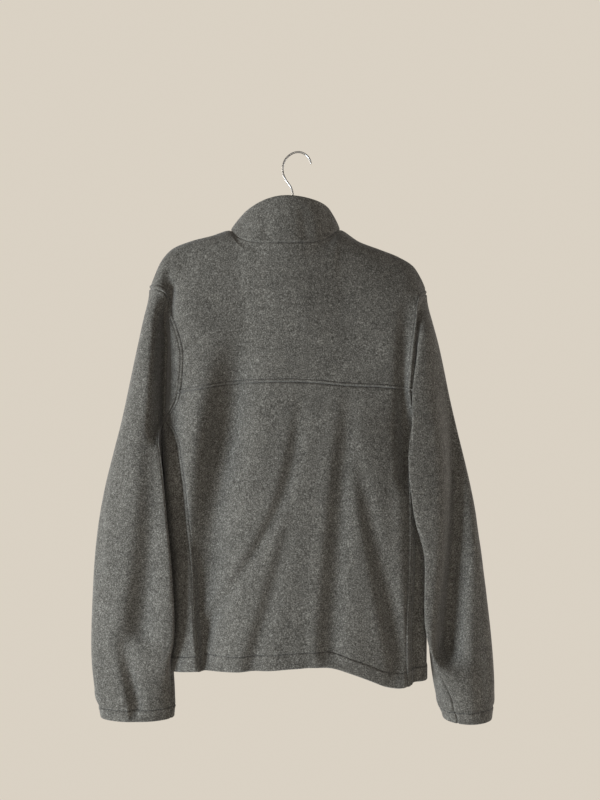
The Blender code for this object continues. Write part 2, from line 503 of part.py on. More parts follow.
def sleeve_grid(back, front, underarm, table, creases, back_folds, front_folds):
    """Rings from the armhole to the cuff. Column 0 is the overarm line, the middle column the underarm."""
    armhole = np.concatenate([back, underarm[1:-1], front[::-1][:-1]])
    count = len(armhole)
    round_share = np.arange(count) / count
    section = Curve([row[1:] for row in table], at=[-row[0] for row in table])
    cuff_z = table[-1][0]
    half = count // 2
    lowest = armhole[:, 2].min()
    back_half = np.arange(half + 1)
    front_half = np.arange(half + 1, count)
    rings = []
    for k, share in enumerate(SLEEVE_ROWS):
        z = armhole[:, 2] + (cuff_z - armhole[:, 2]) * share
        limit = np.empty(count)
        for part in (back_half, front_half[::-1]):
            share_round = round_share[part] if part is back_half else 1 - round_share[part]
            heights = np.append(-armhole[part, 2], 1.0 - lowest)
            limit[part] = np.interp(-z[part], heights, np.append(share_round, 0.5))
        reach = SLEEVE_ROUND + (1 - SLEEVE_ROUND) * smooth((armhole[0, 2] - z) / (armhole[0, 2] - lowest))
        near = np.where(np.arange(count) <= half, round_share, 1 - round_share)
        angle = math.pi * near / np.maximum(np.maximum(limit, near), 1e-6) * reach
        angle = np.where(np.arange(count) <= half, angle, -angle)
        outer, inner, back_y, front_y, lean, front_lean, turn = np.moveaxis(section(-z), -1, 0)
        angle = angle - np.radians(turn) * smooth(share / TURN_SET_IN)
        rise = np.sin(angle)
        toward_body = np.sign(inner - outer)
        x = (outer + inner) / 2 + (outer - inner) / 2 * np.cos(angle)
        over = np.maximum(np.sin(angle - LEAN_TURN), 0.0) ** LEAN_POWER
        x += toward_body * (lean * over + front_lean * np.maximum(-rise, 0.0) ** 2)
        y = (back_y + front_y) / 2 + (back_y - front_y) / 2 * rise
        ring = np.stack([x, y, z], axis=-1)
        backward = np.maximum(rise, 0) ** FOLD_FACING * smooth(share / FOLD_SET_IN)
        forward = np.maximum(-rise, 0) ** FOLD_FACING * smooth(share / FOLD_SET_IN)
        ring[:, 1] += crease(back_folds, x, z) * backward - crease(front_folds, x, z) * forward
        if k < len(SEAM_TO_SECTION_X):
            under = UNDERARM_LEAD * smooth((near - UNDERARM_FROM) / UNDERARM_BLEND) if k else 0.0
            share_x = SEAM_TO_SECTION_X[k] + (1 - SEAM_TO_SECTION_X[k]) * under
            ring[:, 0] = armhole[:, 0] + (ring[:, 0] - armhole[:, 0]) * share_x
            ring[:, 1] = armhole[:, 1] + (ring[:, 1] - armhole[:, 1]) * SEAM_TO_SECTION_Y[k]
            window = (smooth((near - CREASE_FROM) / (CREASE_FULL - CREASE_FROM))
                      * smooth((CREASE_TO - near) / (CREASE_TO - CREASE_LESS)))
            at_back = np.arange(count) <= half
            ring[:, 1] += window * np.where(at_back, -creases[0][k], creases[1][k])
        rings.append(ring)
    grid = np.array(rings)
    for _ in range(RING_ROUNDS):
        around = grid[:-2] + grid[2:] + (np.roll(grid, 1, axis=1) + np.roll(grid, -1, axis=1))[1:-1]
        grid[1:-1, :, :2] = (grid[1:-1, :, :2] + around[..., :2] / 4) / 2
    return grid


# ---------------------------------------------------------------------------------------------- walls

def seam_key(point):
    return tuple(np.round(point, 2))


def unit(vectors):
    return vectors / np.linalg.norm(vectors, axis=-1, keepdims=True)


def panel_normals(grid, outward, closed):
    """Outward unit normal at every point of a panel, evened out away from its edges."""
    down = np.gradient(grid, axis=0)
    if closed:
        across = np.roll(grid, -1, axis=1) - np.roll(grid, 1, axis=1)
    else:
        across = np.gradient(grid, axis=1)
    normals = unit(np.cross(across, down) * outward)
    for _ in range(NORMAL_SMOOTHING):
        evened = normals.copy()
        evened[1:-1] += normals[:-2] + normals[2:]
        if closed:
            evened[1:-1] += (np.roll(normals, 1, axis=1) + np.roll(normals, -1, axis=1))[1:-1]
            normals[1:-1] = unit(evened[1:-1])
        else:
            evened[:, 1:-1] += normals[:, :-2] + normals[:, 2:]
            normals[1:-1, 1:-1] = unit(evened[1:-1, 1:-1])
    return normals


def trimmed(grid, normals, closed, trims):
    """Panel with its margins drawn back square to the seams (top, bottom, left, right)."""
    top, bottom, left, right = trims
    moved = grid.copy()

    def draw_back(line, inner, up, amount, loop):
        along = np.roll(line, -1, axis=0) - np.roll(line, 1, axis=0) if loop else np.gradient(line, axis=0)
        square = unit(np.cross(up, along))
        return square * np.sign(np.sum(square * (inner - line), axis=-1, keepdims=True)) * amount

    moved[0] += draw_back(grid[0], grid[1], normals[0], top, closed)
    moved[-1] += draw_back(grid[-1], grid[-2], normals[-1], bottom, closed)
    if not closed:
        moved[:, 0] += draw_back(grid[:, 0], grid[:, 1], normals[:, 0], left, False)
        moved[:, -1] += draw_back(grid[:, -1], grid[:, -2], normals[:, -1], right, False)
    return moved


def wall_faces(outer, closed, outward):
    """Triangles of a wall whose points are the outer grid and then the inner grid."""
    rows, columns = outer.shape[:2]
    inner_start = rows * columns
    faces = []

    def point(r, c):
        return r * columns + c % columns

    def skin(a, b, c, d):
        """Two triangles on the outer face, and the same two turned over on the inner face."""
        pts = outer.reshape(-1, 3)
        if np.linalg.norm(pts[a] - pts[c]) <= np.linalg.norm(pts[b] - pts[d]):
            halves = ((a, b, c), (a, c, d))
        else:
            halves = ((a, b, d), (b, c, d))
        for i, j, k in halves:
            faces.append((i, j, k))
            faces.append((i + inner_start, k + inner_start, j + inner_start))

    def rim(a, b):
        """Two triangles from outer to inner face, halved the same way as the facing edge of the next panel."""
        pts = outer.reshape(-1, 3)
        inner_a, inner_b = a + inner_start, b + inner_start
        if (pts[a] - pts[b]) @ RIM_ORDER > 0:
            faces.extend([(a, inner_a, inner_b), (a, inner_b, b)])
        else:
            faces.extend([(a, inner_a, b), (inner_a, inner_b, b)])

    last = columns if closed else columns - 1
    for r in range(rows - 1):
        for c in range(last):
            skin(point(r, c), point(r, c + 1), point(r + 1, c + 1), point(r + 1, c))
    for c in range(last):
        rim(point(0, c + 1), point(0, c))
        rim(point(rows - 1, c), point(rows - 1, c + 1))
    if not closed:
        for r in range(rows - 1):
            rim(point(r, 0), point(r + 1, 0))
            rim(point(r + 1, columns - 1), point(r, columns - 1))
    if outward > 0:
        return faces
    return [(i, k, j) for i, j, k in faces]


def add_object(name, vertices, faces, material):
    mesh = bpy.data.meshes.new(name)
    mesh.from_pydata([tuple(v) for v in vertices], [], faces)
    mesh.materials.append(material)
    bm = bmesh.new()
    bm.from_mesh(mesh)
    bmesh.ops.recalc_face_normals(bm, faces=bm.faces)
    bm.to_mesh(mesh)
    bm.free()
    mesh.shade_smooth()
    mesh.set_sharp_from_angle(angle=math.radians(40))
    built = bpy.data.objects.new(name, mesh)
    bpy.context.collection.objects.link(built)
    return built


def add_wall(name, grid, own_normals, shared, outward, thickness, trims, material, closed=False):
    """Wall of cloth under a panel's outer face; along seams its edge stands on the normal both sides share."""
    normals = unit(np.array([[shared[seam_key(p)] for p in row] for row in grid]))
    outer = trimmed(grid, own_normals, closed, trims)
    inner = outer - normals * thickness[:, None, None]
    vertices = np.concatenate([outer.reshape(-1, 3), inner.reshape(-1, 3)]) * MM
    return add_object(name, vertices, wall_faces(outer, closed, outward), material)


def row_thickness(rows, doubled_from=None):
    thickness = np.full(rows, CLOTH)
    if doubled_from is not None:
        thickness[doubled_from + 1:] = HEM_CLOTH
    return thickness


# ---------------------------------------------------------------------------------------------- zip and hanger

def sweep(name, rings, material):
    """Closed solid through rings of the same number of points, with flat ends."""
    count = len(rings[0])
    faces = [tuple(reversed(range(count))), tuple((len(rings) - 1) * count + i for i in range(count))]
    for r in range(len(rings) - 1):
        for i in range(count):
            j = (i + 1) % count
            faces.append((r * count + i, r * count + j, (r + 1) * count + j, (r + 1) * count + i))
    return add_object(name, np.concatenate(rings) * MM, faces, material)


def zip_rings(front_left, front_right, collar):
    """T-shaped sections of tape and chain, from the hem up to the slider."""
    rows = len(front_left)
    low = len(UPPER_ROWS) - 1 + HEM_ROW
    sections = []

    def section(centre, to_left, to_right, up, wing, tape_face):
        across = to_left / np.linalg.norm(to_left) - to_right / np.linalg.norm(to_right)
        out = np.cross(up, across)
        out /= -np.linalg.norm(out) * np.sign(out[1])
        left = to_left / np.linalg.norm(to_left)
        right = to_right / np.linalg.norm(to_right)
        tape_back = tape_face + TAPE_THICKNESS
        return np.array([centre + left * wing - out * tape_face, centre + left * wing - out * tape_back,
                         centre - out * tape_back, centre + right * wing - out * tape_back,
                         centre + right * wing - out * tape_face,
                         centre + right * CHAIN_HALF_WIDTH - out * tape_face,
                         centre + right * CHAIN_HALF_WIDTH - out * CHAIN_DEPTH,
                         centre + left * CHAIN_HALF_WIDTH - out * CHAIN_DEPTH,
                         centre + left * CHAIN_HALF_WIDTH - out * tape_face])

    for r in range(rows - 1, 0, -1):
        up = front_left[r - 1, -1] - front_left[min(r + 1, rows - 1), -1]
        thick = HEM_CLOTH if r >= low else CLOTH
        wing = TAPE_HALF_WIDTH if r > 2 else TAPE_NARROW
        sections.append(section(front_left[r, -1] + up / np.linalg.norm(up) * (1.0 if r == rows - 1 else 0.0),
                                front_left[r, -2] - front_left[r, -1], front_right[r, -2] - front_right[r, -1],
                                up, wing, thick + SEAM_GAP))
    top = collar_point(collar, SLIDER_SHARE) + collar_up(collar) * (BRIDGE_BOTTOM - 0.6)
    for share in ZIP_COLLAR_SHARES:
        sections.append(section(collar_point(collar, share), np.array([1.0, 0, 0]), np.array([-1.0, 0, 0]),
                                collar_up(collar), TAPE_NARROW, CLOTH + SEAM_GAP))
    sections.append(section(top, np.array([1.0, 0, 0]), np.array([-1.0, 0, 0]), collar_up(collar), TAPE_NARROW,
                            CLOTH + SEAM_GAP))
    return sections


def collar_point(collar, share):
    """Point on the collar's front edge line, between its lower and upper end."""
    return collar[0, 0] + (collar[-1, 0] - collar[0, 0]) * share


def collar_up(collar):
    up = collar[-1, 0] - collar[0, 0]
    return up / np.linalg.norm(up)


def box_points(low, high):
    return [(x, y, z) for x in (low[0], high[0]) for y in (low[1], high[1]) for z in (low[2], high[2])]


def add_box(name, low, high, material):
    faces = [(0, 1, 3, 2), (4, 6, 7, 5), (0, 4, 5, 1), (2, 3, 7, 6), (0, 2, 6, 4), (1, 5, 7, 3)]
    return add_object(name, np.array(box_points(low, high)) * MM, faces, material)


def add_rod(name, radius, x_low, x_high, y, z, material, sides=16):
    """Round bar along x."""
    rings = []
    for x in (x_low, x_high):
        turn = np.arange(sides) * 2 * math.pi / sides
        rings.append(np.stack([np.full(sides, x), y + radius * np.cos(turn), z + radius * np.sin(turn)], axis=-1))
    return sweep(name, rings, material)


def combine(base, other, operation):
    modifier = base.modifiers.new(other.name, "BOOLEAN")
    modifier.operation = operation
    modifier.object = other
    other.hide_render = True
    other.display_type = "WIRE"
    other.parent = base.parent


def add_slider(frame, metal):
    """Two plates joined by a bridge, with two lugs and a pin that carries the pull tab."""
    front_face = -SEAM_GAP
    back_face = COLLAR_CLOTH + 3 * SEAM_GAP
    slider = add_box("slider", (-SLIDER_HALF_WIDTH, front_face - SLIDER_PLATE, SLIDER_BOTTOM),
                     (SLIDER_HALF_WIDTH, front_face, SLIDER_TOP), metal)
    slider.parent = frame
    parts = [add_box("slider_back_plate", (-SLIDER_HALF_WIDTH, back_face, SLIDER_BOTTOM),
                     (SLIDER_HALF_WIDTH, back_face + SLIDER_PLATE, SLIDER_TOP), metal),
             add_box("slider_bridge", (-BRIDGE_HALF_WIDTH, front_face - SLIDER_PLATE / 2, BRIDGE_BOTTOM),
                     (BRIDGE_HALF_WIDTH, back_face + SLIDER_PLATE / 2, SLIDER_TOP - 0.6), metal),
             add_rod("slider_pin", PIN_RADIUS, -LUG_OUTER + 0.4, LUG_OUTER - 0.4, PIN_Y, PIN_Z, metal, 12)]
    for side in (-1, 1):
        low, high = sorted((side * LUG_INNER, side * LUG_OUTER))
        parts.append(add_box(f"slider_lug_{side:+d}", (low, PIN_Y - LUG_RADIUS, PIN_Z - LUG_RADIUS),
                             (high, front_face - SLIDER_PLATE / 2, PIN_Z + LUG_RADIUS), metal))
    for part in parts:
        combine(slider, part, "UNION")
    return slider


def add_pull_tab(frame, metal):
    """Flat tab with an eye that turns on the slider's pin. Its origin is on the pin's axis."""
    clear = SEAM_GAP
    neck = LUG_INNER - clear
    half = TAB_THICKNESS / 2
    shoulder_z = -EYE_RADIUS - TAB_NECK
    outline = [(-neck, -0.5), (-neck, shoulder_z), (-TAB_HALF_WIDTH, shoulder_z - TAB_FLARE)]
    end_z = -TAB_LENGTH + TAB_HALF_WIDTH
    for i in range(HALF_ROUND_STEPS + 1):
        turn = math.pi + math.pi * i / HALF_ROUND_STEPS
        outline.append((TAB_HALF_WIDTH * math.cos(turn), end_z + TAB_HALF_WIDTH * math.sin(turn)))
    outline += [(TAB_HALF_WIDTH, shoulder_z - TAB_FLARE), (neck, shoulder_z), (neck, -0.5)]
    rings = [np.array([(x, y, z) for x, z in outline], float) for y in (-half, half)]
    eye = add_rod("pull_tab", EYE_RADIUS, -neck, neck, 0, 0, metal, 16)
    eye.parent = frame
    eye.location = (0, PIN_Y * MM, PIN_Z * MM)
    blade = sweep("pull_tab_blade", rings, metal)
    hole = add_rod("pull_tab_hole", PIN_RADIUS + clear, -neck - 2, neck + 2, 0, 0, metal, 16)
    for part, operation in ((blade, "UNION"), (hole, "DIFFERENCE")):
        combine(eye, part, operation)
        part.location = eye.location
    return eye


def hanger_top(x):
    """Height of the hanger's top edge: close under the shoulder line, with a dip where the collar seam crosses."""
    slope = (shoulder_height(x + 1.0) - shoulder_height(x - 1.0)) / 2
    crossings = (SHOULDER_LEFT[-1][0], SHOULDER_RIGHT[-1][0])
    dip = sum(math.exp(-(((x - at) / COLLAR_DIP_WIDTH) ** 2)) for at in crossings)
    return shoulder_height(x) - HANGER_CLEARANCE * math.sqrt(1 + slope**2) - COLLAR_DIP * dip


def add_hanger(wood, steel):
    middle, end = HANGER_HEIGHT_MIDDLE, HANGER_HEIGHT_END
    rings = []
    for x in np.linspace(HANGER_RIGHT_END, HANGER_LEFT_END, HANGER_SECTIONS):
        reach = HANGER_LEFT_END - HANGER_MIDDLE if x > HANGER_MIDDLE else HANGER_MIDDLE - HANGER_RIGHT_END
        out = abs(x - HANGER_MIDDLE) / reach
        height = middle + (end - middle) * out
        radius = HANGER_THICKNESS / 2 * (1 - END_TAPER * max(0.0, 1 - (1 - out) / END_TAPER_SHARE) ** 2)
        top = hanger_top(x)
        ring = []
        for i in range(HANGER_SIDES):
            turn = 2 * math.pi * (i + 0.5) / HANGER_SIDES
            centre = top - radius if math.sin(turn) > 0 else top - height + radius
            ring.append((x, radius * math.cos(turn), centre + radius * math.sin(turn)))
        rings.append(np.array(ring))
    body = sweep("hanger_body", rings, wood)

    path = [(x, 0.0, z) for x, z in HOOK]
    line = Curve(path)
    turns = np.linspace(0, 1, HOOK_STEPS)
    curve = bpy.data.curves.new("hanger_hook", "CURVE")
    curve.dimensions = "3D"
    curve.bevel_depth = WIRE_RADIUS * MM
    curve.bevel_resolution = 2
    curve.use_fill_caps = True
    spline = curve.splines.new("POLY")
    spline.points.add(len(turns) - 1)
    for k, t in enumerate(turns):
        spline.points[k].co = (*(line(t) * MM), 1)
    curve.materials.append(steel)
    hook = bpy.data.objects.new("hanger_hook", curve)
    bpy.context.collection.objects.link(hook)

    bore_radius = WIRE_RADIUS + BORE_CLEARANCE
    bore_rings = []
    for z in (HOOK[-1][1] - BORE_CLEARANCE, HOOK[-2][1] + BORE_OVER):
        turn = np.arange(12) * 2 * math.pi / 12
        bore_rings.append(np.stack([HOOK[-1][0] + bore_radius * np.cos(turn), bore_radius * np.sin(turn),
                                    np.full(12, z)], axis=-1))
    combine(body, sweep("hanger_bore", bore_rings, wood), "DIFFERENCE")
    return body, hook


# ---------------------------------------------------------------------------------------------- the whole part

def make_material(name, colour, roughness, metallic=0.0):
    material = bpy.data.materials.new(name)
    material.use_nodes = True
    shader = material.node_tree.nodes["Principled BSDF"]
    shader.inputs["Base Color"].default_value = (*colour, 1)
    shader.inputs["Roughness"].default_value = roughness
    shader.inputs["Metallic"].default_value = metallic
    material.diffuse_color = (*colour, 1)
    return material


def build():
    for leftover in list(bpy.data.objects):
        bpy.data.objects.remove(leftover)
    fleece = make_material("grey_fleece", (0.17, 0.165, 0.155), 0.95)
    tape = make_material("zip_tape", (0.09, 0.09, 0.09), 0.8)
    metal = make_material("zip_metal", (0.35, 0.35, 0.36), 0.35, 1.0)
    wood = make_material("wood", (0.52, 0.36, 0.21), 0.5)
    steel = make_material("steel_wire", (0.6, 0.6, 0.6), 0.25, 1.0)

    yoke, body = back_grids(BACK_FOLDS)
    front_left, front_right = front_grid(1, FRONT_FOLDS), front_grid(-1, FRONT_FOLDS)
    collar = collar_grid()
    armpit = len(UPPER_ROWS) - 1 + ARMPIT_ROW
    side_left = side_grid(body[ARMPIT_ROW:, 0], front_left[armpit:, 0], SIDE_LEFT)
    side_right = side_grid(body[ARMPIT_ROW:, -1], front_right[armpit:, 0], SIDE_RIGHT)
    back = np.concatenate([yoke, body[1:]])
    sleeve_left = sleeve_grid(back[:armpit + 1, 0], front_left[:armpit + 1, 0], side_left[0], SLEEVE_LEFT,
                              (CREASE_LEFT_BACK, CREASE_FRONT), SLEEVE_FOLDS_LEFT, SLEEVE_FOLDS_FRONT_LEFT)
    sleeve_right = sleeve_grid(back[:armpit + 1, -1], front_right[:armpit + 1, 0], side_right[0], SLEEVE_RIGHT,
                               (CREASE_RIGHT_BACK, CREASE_FRONT), SLEEVE_FOLDS_RIGHT, SLEEVE_FOLDS_FRONT_RIGHT)

    half = SEAM_GAP / 2
    slot = ZIP_SLOT / 2
    hem_from = len(UPPER_ROWS) - 1 + HEM_ROW
    side_thickness = row_thickness(len(side_left), HEM_ROW - ARMPIT_ROW)
    collar_thickness = np.full(len(COLLAR_ROWS), COLLAR_CLOTH)
    collar_thickness[0] = CLOTH
    # name, grid, outward side, thickness of each row, margins (top, bottom, left, right), closed to a tube
    panels = [
        ("back_yoke", yoke, -1, row_thickness(len(yoke)), (half, half, half, half), False),
        ("back_body", body, -1, row_thickness(len(body), HEM_ROW), (half, 0, half, half), False),
        ("side_left", side_left, 1, side_thickness, (half, 0, half, half), False),
        ("side_right", side_right, -1, side_thickness, (half, 0, half, half), False),
        ("front_left", front_left, 1, row_thickness(len(front_left), hem_from), (half, 0, half, slot), False),
        ("front_right", front_right, -1, row_thickness(len(front_right), hem_from), (half, 0, half, slot), False),
        ("collar", collar, 1, collar_thickness, (half, 0, slot, slot), False),
        ("sleeve_left", sleeve_left, -1, row_thickness(len(sleeve_left), CUFF_ROW), (2 * half, 0, 0, 0), True),
        ("sleeve_right", sleeve_right, 1, row_thickness(len(sleeve_right), CUFF_ROW), (2 * half, 0, 0, 0), True)]
    own_normals = {name: panel_normals(grid, outward, closed) for name, grid, outward, *rest, closed in panels}
    shared = {}
    for name, grid, *rest in panels:
        for point, normal in zip(grid.reshape(-1, 3), own_normals[name].reshape(-1, 3)):
            shared[seam_key(point)] = shared.get(seam_key(point), 0) + normal
    for name, grid, outward, thickness, trims, closed in panels:
        add_wall(name, grid, own_normals[name], shared, outward, thickness, trims, fleece, closed)

    sweep("zip", zip_rings(front_left, front_right, collar), tape)
    up = collar_up(collar)
    seat = bpy.data.objects.new("zip_top", None)
    bpy.context.collection.objects.link(seat)
    seat.location = collar_point(collar, SLIDER_SHARE) * MM
    seat.rotation_euler = (-math.atan2(up[1], up[2]), 0, 0)
    add_slider(seat, metal)
    add_pull_tab(seat, metal)
    add_hanger(wood, steel)


build()
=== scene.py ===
"""Looks of the fleece zip jacket on its hanger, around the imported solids.

Every cut piece is the same grid of seam lines and sections as its solid, drawn finer: its creases, seam
ditches, topstitched welts, turned-up hems and puckers are in the mesh, and the fleece's melange and nap in its
material. The wearer's left is +X, the back faces +Y. Lengths in the tables are millimetres.
"""

import math

import bmesh
import bpy
import numpy as np
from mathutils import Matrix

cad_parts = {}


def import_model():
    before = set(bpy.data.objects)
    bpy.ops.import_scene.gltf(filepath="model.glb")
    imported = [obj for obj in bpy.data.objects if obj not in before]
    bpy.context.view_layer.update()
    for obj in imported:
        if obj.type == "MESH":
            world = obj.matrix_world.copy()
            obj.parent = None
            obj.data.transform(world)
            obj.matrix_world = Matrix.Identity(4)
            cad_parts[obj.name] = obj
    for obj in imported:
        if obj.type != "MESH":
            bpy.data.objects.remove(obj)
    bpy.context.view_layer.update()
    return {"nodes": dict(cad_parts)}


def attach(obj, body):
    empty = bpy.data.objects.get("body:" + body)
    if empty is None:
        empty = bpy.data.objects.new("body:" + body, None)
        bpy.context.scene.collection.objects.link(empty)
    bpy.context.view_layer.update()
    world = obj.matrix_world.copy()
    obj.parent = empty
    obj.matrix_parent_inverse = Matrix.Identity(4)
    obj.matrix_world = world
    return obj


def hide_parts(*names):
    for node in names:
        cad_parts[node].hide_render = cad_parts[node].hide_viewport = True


MM = 0.001
BODY = "jacket"

# Driving dimensions
CLOTH = 2.5  # fleece, one layer
COLLAR_CLOTH = 4.5  # collar, two layers
HEM_CLOTH = 4.8  # turned-up hem and cuffs, two layers
HEM_HEIGHT = 23.5
SEAM_GAP = 0.3
ZIP_SLOT = 7.0  # between the two front edges
CREST_RADIUS = 9.5  # the cloth rounds over the hanger's top edge
CREST_RADIUS_NECK = 23.0  # wider beside the collar
CREST_NARROWS_IN = 38.0
CHEST_DEPTH = 48.0  # of the back below the shoulders, behind the shoulder line
SHOULDER_SLOPE = 150.0  # height over which the cloth comes out to that depth

# Shares of the grid rows: from the shoulder line or neck to the yoke seam's height, and from there to the hem.
UPPER_ROWS = np.array([0, 0.012, 0.032, 0.06, 0.10, 0.17, 0.27, 0.39, 0.53, 0.69, 0.85, 1.0])
NECK_ROWS = np.array([0, 0.03, 0.06, 0.095, 0.14, 0.20, 0.29, 0.40, 0.54, 0.70, 0.85, 1.0])
BODY_LENGTH = 436.0
ARMPIT_SHARE = 0.13
HEM_SHARE = 1.0 - HEM_HEIGHT / BODY_LENGTH
LOWER_ROWS = np.array([0, 0.035, 0.07, 0.10, ARMPIT_SHARE, 0.145, 0.17, 0.21, 0.28, 0.36, 0.44, 0.52, 0.60,
                       0.68, 0.76, 0.84, 0.90, HEM_SHARE, HEM_SHARE + 0.004, 1.0])
ARMPIT_ROW = 4
HEM_ROW = 17
SHOULDER_SHARES = np.array([0, 0.045, 0.10, 0.17, 0.27, 0.42, 0.60, 0.80, 1.0])  # columns, from sleeve to neck
NECK_COLUMNS = 12
BACK_NECK_FROM = 0.30
BACK_NECK_TO = 0.69
FRONT_NECK_FROM = 0.57
BACK_NECK_BLEND = 0.08  # share of the width over which the rows close up beside the neck
FRONT_NECK_BLEND = 0.15
RELAX_ROUNDS = 14  # evens out the fronts and the yoke at the corners of the neck
RELAX_REACH = 0.10
NORMAL_SMOOTHING = 2  # rounds
EDGE_FADE = 10.0  # the higher, the nearer to a side line the depth of the panel's middle reaches
END_FADE = 3  # the same towards its upper and lower line
SIDE_COLUMNS = 6
SIDE_SWING = 0.8  # below 1 the side panel turns off the back and the front more sharply
SIDE_LIFT = 0.7
COLLAR_ROWS = np.array([0, 0.14, 0.38, 0.62, 0.84, 1.0])
SLEEVE_ROWS = np.array([0, 0.012, 0.028, 0.045, 0.064, 0.088, 0.12, 0.17, 0.24, 0.31, 0.38, 0.45, 0.52, 0.59,
                        0.66, 0.73, 0.80, 0.87, 0.925, 0.961, 0.966, 1.0])
CUFF_ROW = 19

# Shoulder lines over the hanger, from the sleeve to the neck (x, y, z).
SHOULDER_LEFT = [(237.4, 0, -215.3), (232.7, -1, -202), (224.8, -1, -184), (215.3, -1, -166),
                 (204.2, -1, -154), (180.4, -1, -142.5), (156.7, -1, -135.4), (133, -1, -129.5),
                 (108.1, 0, -122.5)]
SHOULDER_RIGHT = [(-202.6, 0, -223.2), (-198.8, -1, -207), (-190.5, -1, -190.5), (-182.1, -1, -179.7),
                  (-172.6, -1, -172), (-159.9, -1, -165.2), (-144.1, -1, -158.4), (-120.3, -1, -149.8),
                  (-96.6, -1, -140.8), (-80.8, -1, -131), (-64.6, 0, -121.3)]

NECK_BRIDGE = [(-40, -112), (15, -102), (75, -112)]  # the shoulder line carried on across the neck (x, z)

# Armholes, from the shoulder line to the top of the side panel; the first part ends at the yoke seam's height.
ARMHOLE_BACK_LEFT = [
    [(237.4, 0, -215.3), (221.2, 20, -218.9), (209, 18, -224.5), (206.5, 6, -233), (204.5, 9, -247.9),
     (199.7, 18, -269.3), (190.6, 26, -290), (184.6, 30, -313.7), (184.4, 31, -342), (188.6, 29.2, -380.2)],
    [(188.6, 29.2, -380.2), (191.4, 27.5, -390), (197.8, 23, -403.4), (206, 15, -414), (210.4, 9, -422.4)]]
ARMHOLE_FRONT_LEFT = [
    [(237.4, 0, -215.3), (228, -15, -219.5), (214, -24, -230), (200, -30, -255), (190, -34, -290),
     (185, -36, -330), (187, -35, -370)],
    [(187, -35, -370), (193, -30, -392), (202, -20, -411), (209, -11, -424)]]
ARMHOLE_BACK_RIGHT = [
    [(-202.6, 0, -223.2), (-189.3, 24, -232.8), (-183.2, 34, -252.5), (-181.2, 38, -277.4),
     (-177.8, 40, -306.7), (-174, 41, -345), (-172.8, 36.4, -376.4)],
    [(-172.8, 36.4, -376.4), (-176, 29, -398), (-184, 19, -421), (-192, 9, -435)]]
ARMHOLE_FRONT_RIGHT = [
    [(-202.6, 0, -223.2), (-194, -15, -227.5), (-182, -24, -238), (-171, -30, -262), (-163, -34, -297),
     (-160, -36, -337), (-163, -35, -375)],
    [(-163, -35, -375), (-170, -30, -402), (-181, -20, -424), (-191, -11, -438)]]

# Side panel seams from the armhole to the hem, and the outermost line of each side panel.
SEAM_BACK_LEFT = [(210.4, 9, -422.4), (204, 16, -431), (197, 22, -440), (191.5, 27, -455), (187, 29.5, -480),
                  (180, 30, -530), (176, 30, -575), (168.4, 31, -638), (163.7, 32, -731), (157.3, 33, -811)]
SEAM_FRONT_LEFT = [(209, -11, -424), (196, -24, -440), (187, -31, -477), (180, -33, -530), (175, -34, -600),
                   (168, -34, -680), (163, -34, -750), (160, -33, -824)]
SEAM_BACK_RIGHT = [(-192, 9, -435), (-184, 20, -449), (-178.5, 27, -480), (-176, 30, -530), (-176.2, 31, -592),
                   (-174.6, 31, -669), (-172, 32, -731), (-171.6, 32, -793), (-173, 32, -832.6)]
SEAM_FRONT_RIGHT = [(-191, -11, -438), (-183, -24, -455), (-178, -31, -490), (-176, -33, -560),
                    (-175, -34, -660), (-173, -34, -740), (-174, -33, -831)]
SIDE_LEFT = [(214, -1, -429), (214, 0, -446), (214.5, 0, -475), (211.5, 0, -515), (212, -8, -575),
             (209, -14, -640), (207, -15, -720), (204, -10, -822)]
SIDE_RIGHT = [(-198, -1, -443), (-201, 0, -460), (-203.5, 0, -490), (-204, 0, -560), (-203, 0, -640),
              (-202.5, 0, -720), (-202, 0, -830)]

# Cross lines of the back: the yoke seam and the lower edge, from the left to the right.
YOKE_SEAM = [(188.6, 29.2, -380.2), (166.3, 38, -376.4), (105.2, 46, -366.6), (50, 50, -363.6),
             (-1.6, 50, -363.6), (-77.9, 48, -369.5), (-140, 42, -372.6), (-172.8, 36.4, -376.4)]
HEM_BACK = [(157.3, 33, -811), (130, 46, -807.8), (90, 55, -804), (44, 58, -801.3), (-1.6, 58, -797.8),
            (-54.8, 56, -799), (-80, 55, -807), (-108, 52, -818), (-135, 45, -829.9), (-155, 38, -834.1),
            (-173, 32, -832.6)]

# Cross lines of the fronts at the same heights, from the side to the zip, and the zip line from neck to hem.
ZIP_LINE = [(16, -64, -205), (14, -65, -260), (11, -64, -374), (7, -62, -480), (2, -60, -600), (-5, -56, -805)]
ZIP_CHEST_ROW = 2
CHEST_LEFT = [(187, -35, -370), (150, -48, -372), (100, -58, -373), (50, -63, -374), (11, -64, -374)]
CHEST_RIGHT = [(-163, -35, -375), (-130, -48, -375), (-90, -57, -375), (-40, -62, -374), (11, -64, -374)]
HEM_FRONT_LEFT = [(160, -33, -824), (125, -45, -819), (70, -54, -811), (30, -56, -806), (-5, -56, -805)]
HEM_FRONT_RIGHT = [(-174, -33, -831), (-140, -45, -829), (-95, -53, -818), (-45, -56, -808), (-5, -56, -805)]

# The collar stands on an oval that dips to the front, and its top edge is another. Heights are from the sides.
# The back's curve is a power at the left and at the right: the higher, the longer the line keeps its height.
NECK = {"centre": (21.75, -10.0), "half_width": 87.75, "to_back": 57.0, "to_front": 54.0, "side_z": -120.0,
        "back_rise": -30.3, "back_curve": (1.0, 1.2), "eased": True, "front_drop": 85.0, "front_curve": 1.5}
COLLAR_TOP = {"centre": (18.0, -10.0), "half_width": 69.0, "to_back": 48.0, "to_front": 47.5, "side_z": -94.0,
              "back_rise": 18.5, "back_curve": (2.4, 1.1), "eased": False, "front_drop": 44.0,
              "front_curve": 1.3}
COLLAR_BULGE = 1.5
COLLAR_BULGE_FROM = 0.5  # flat beside the zip

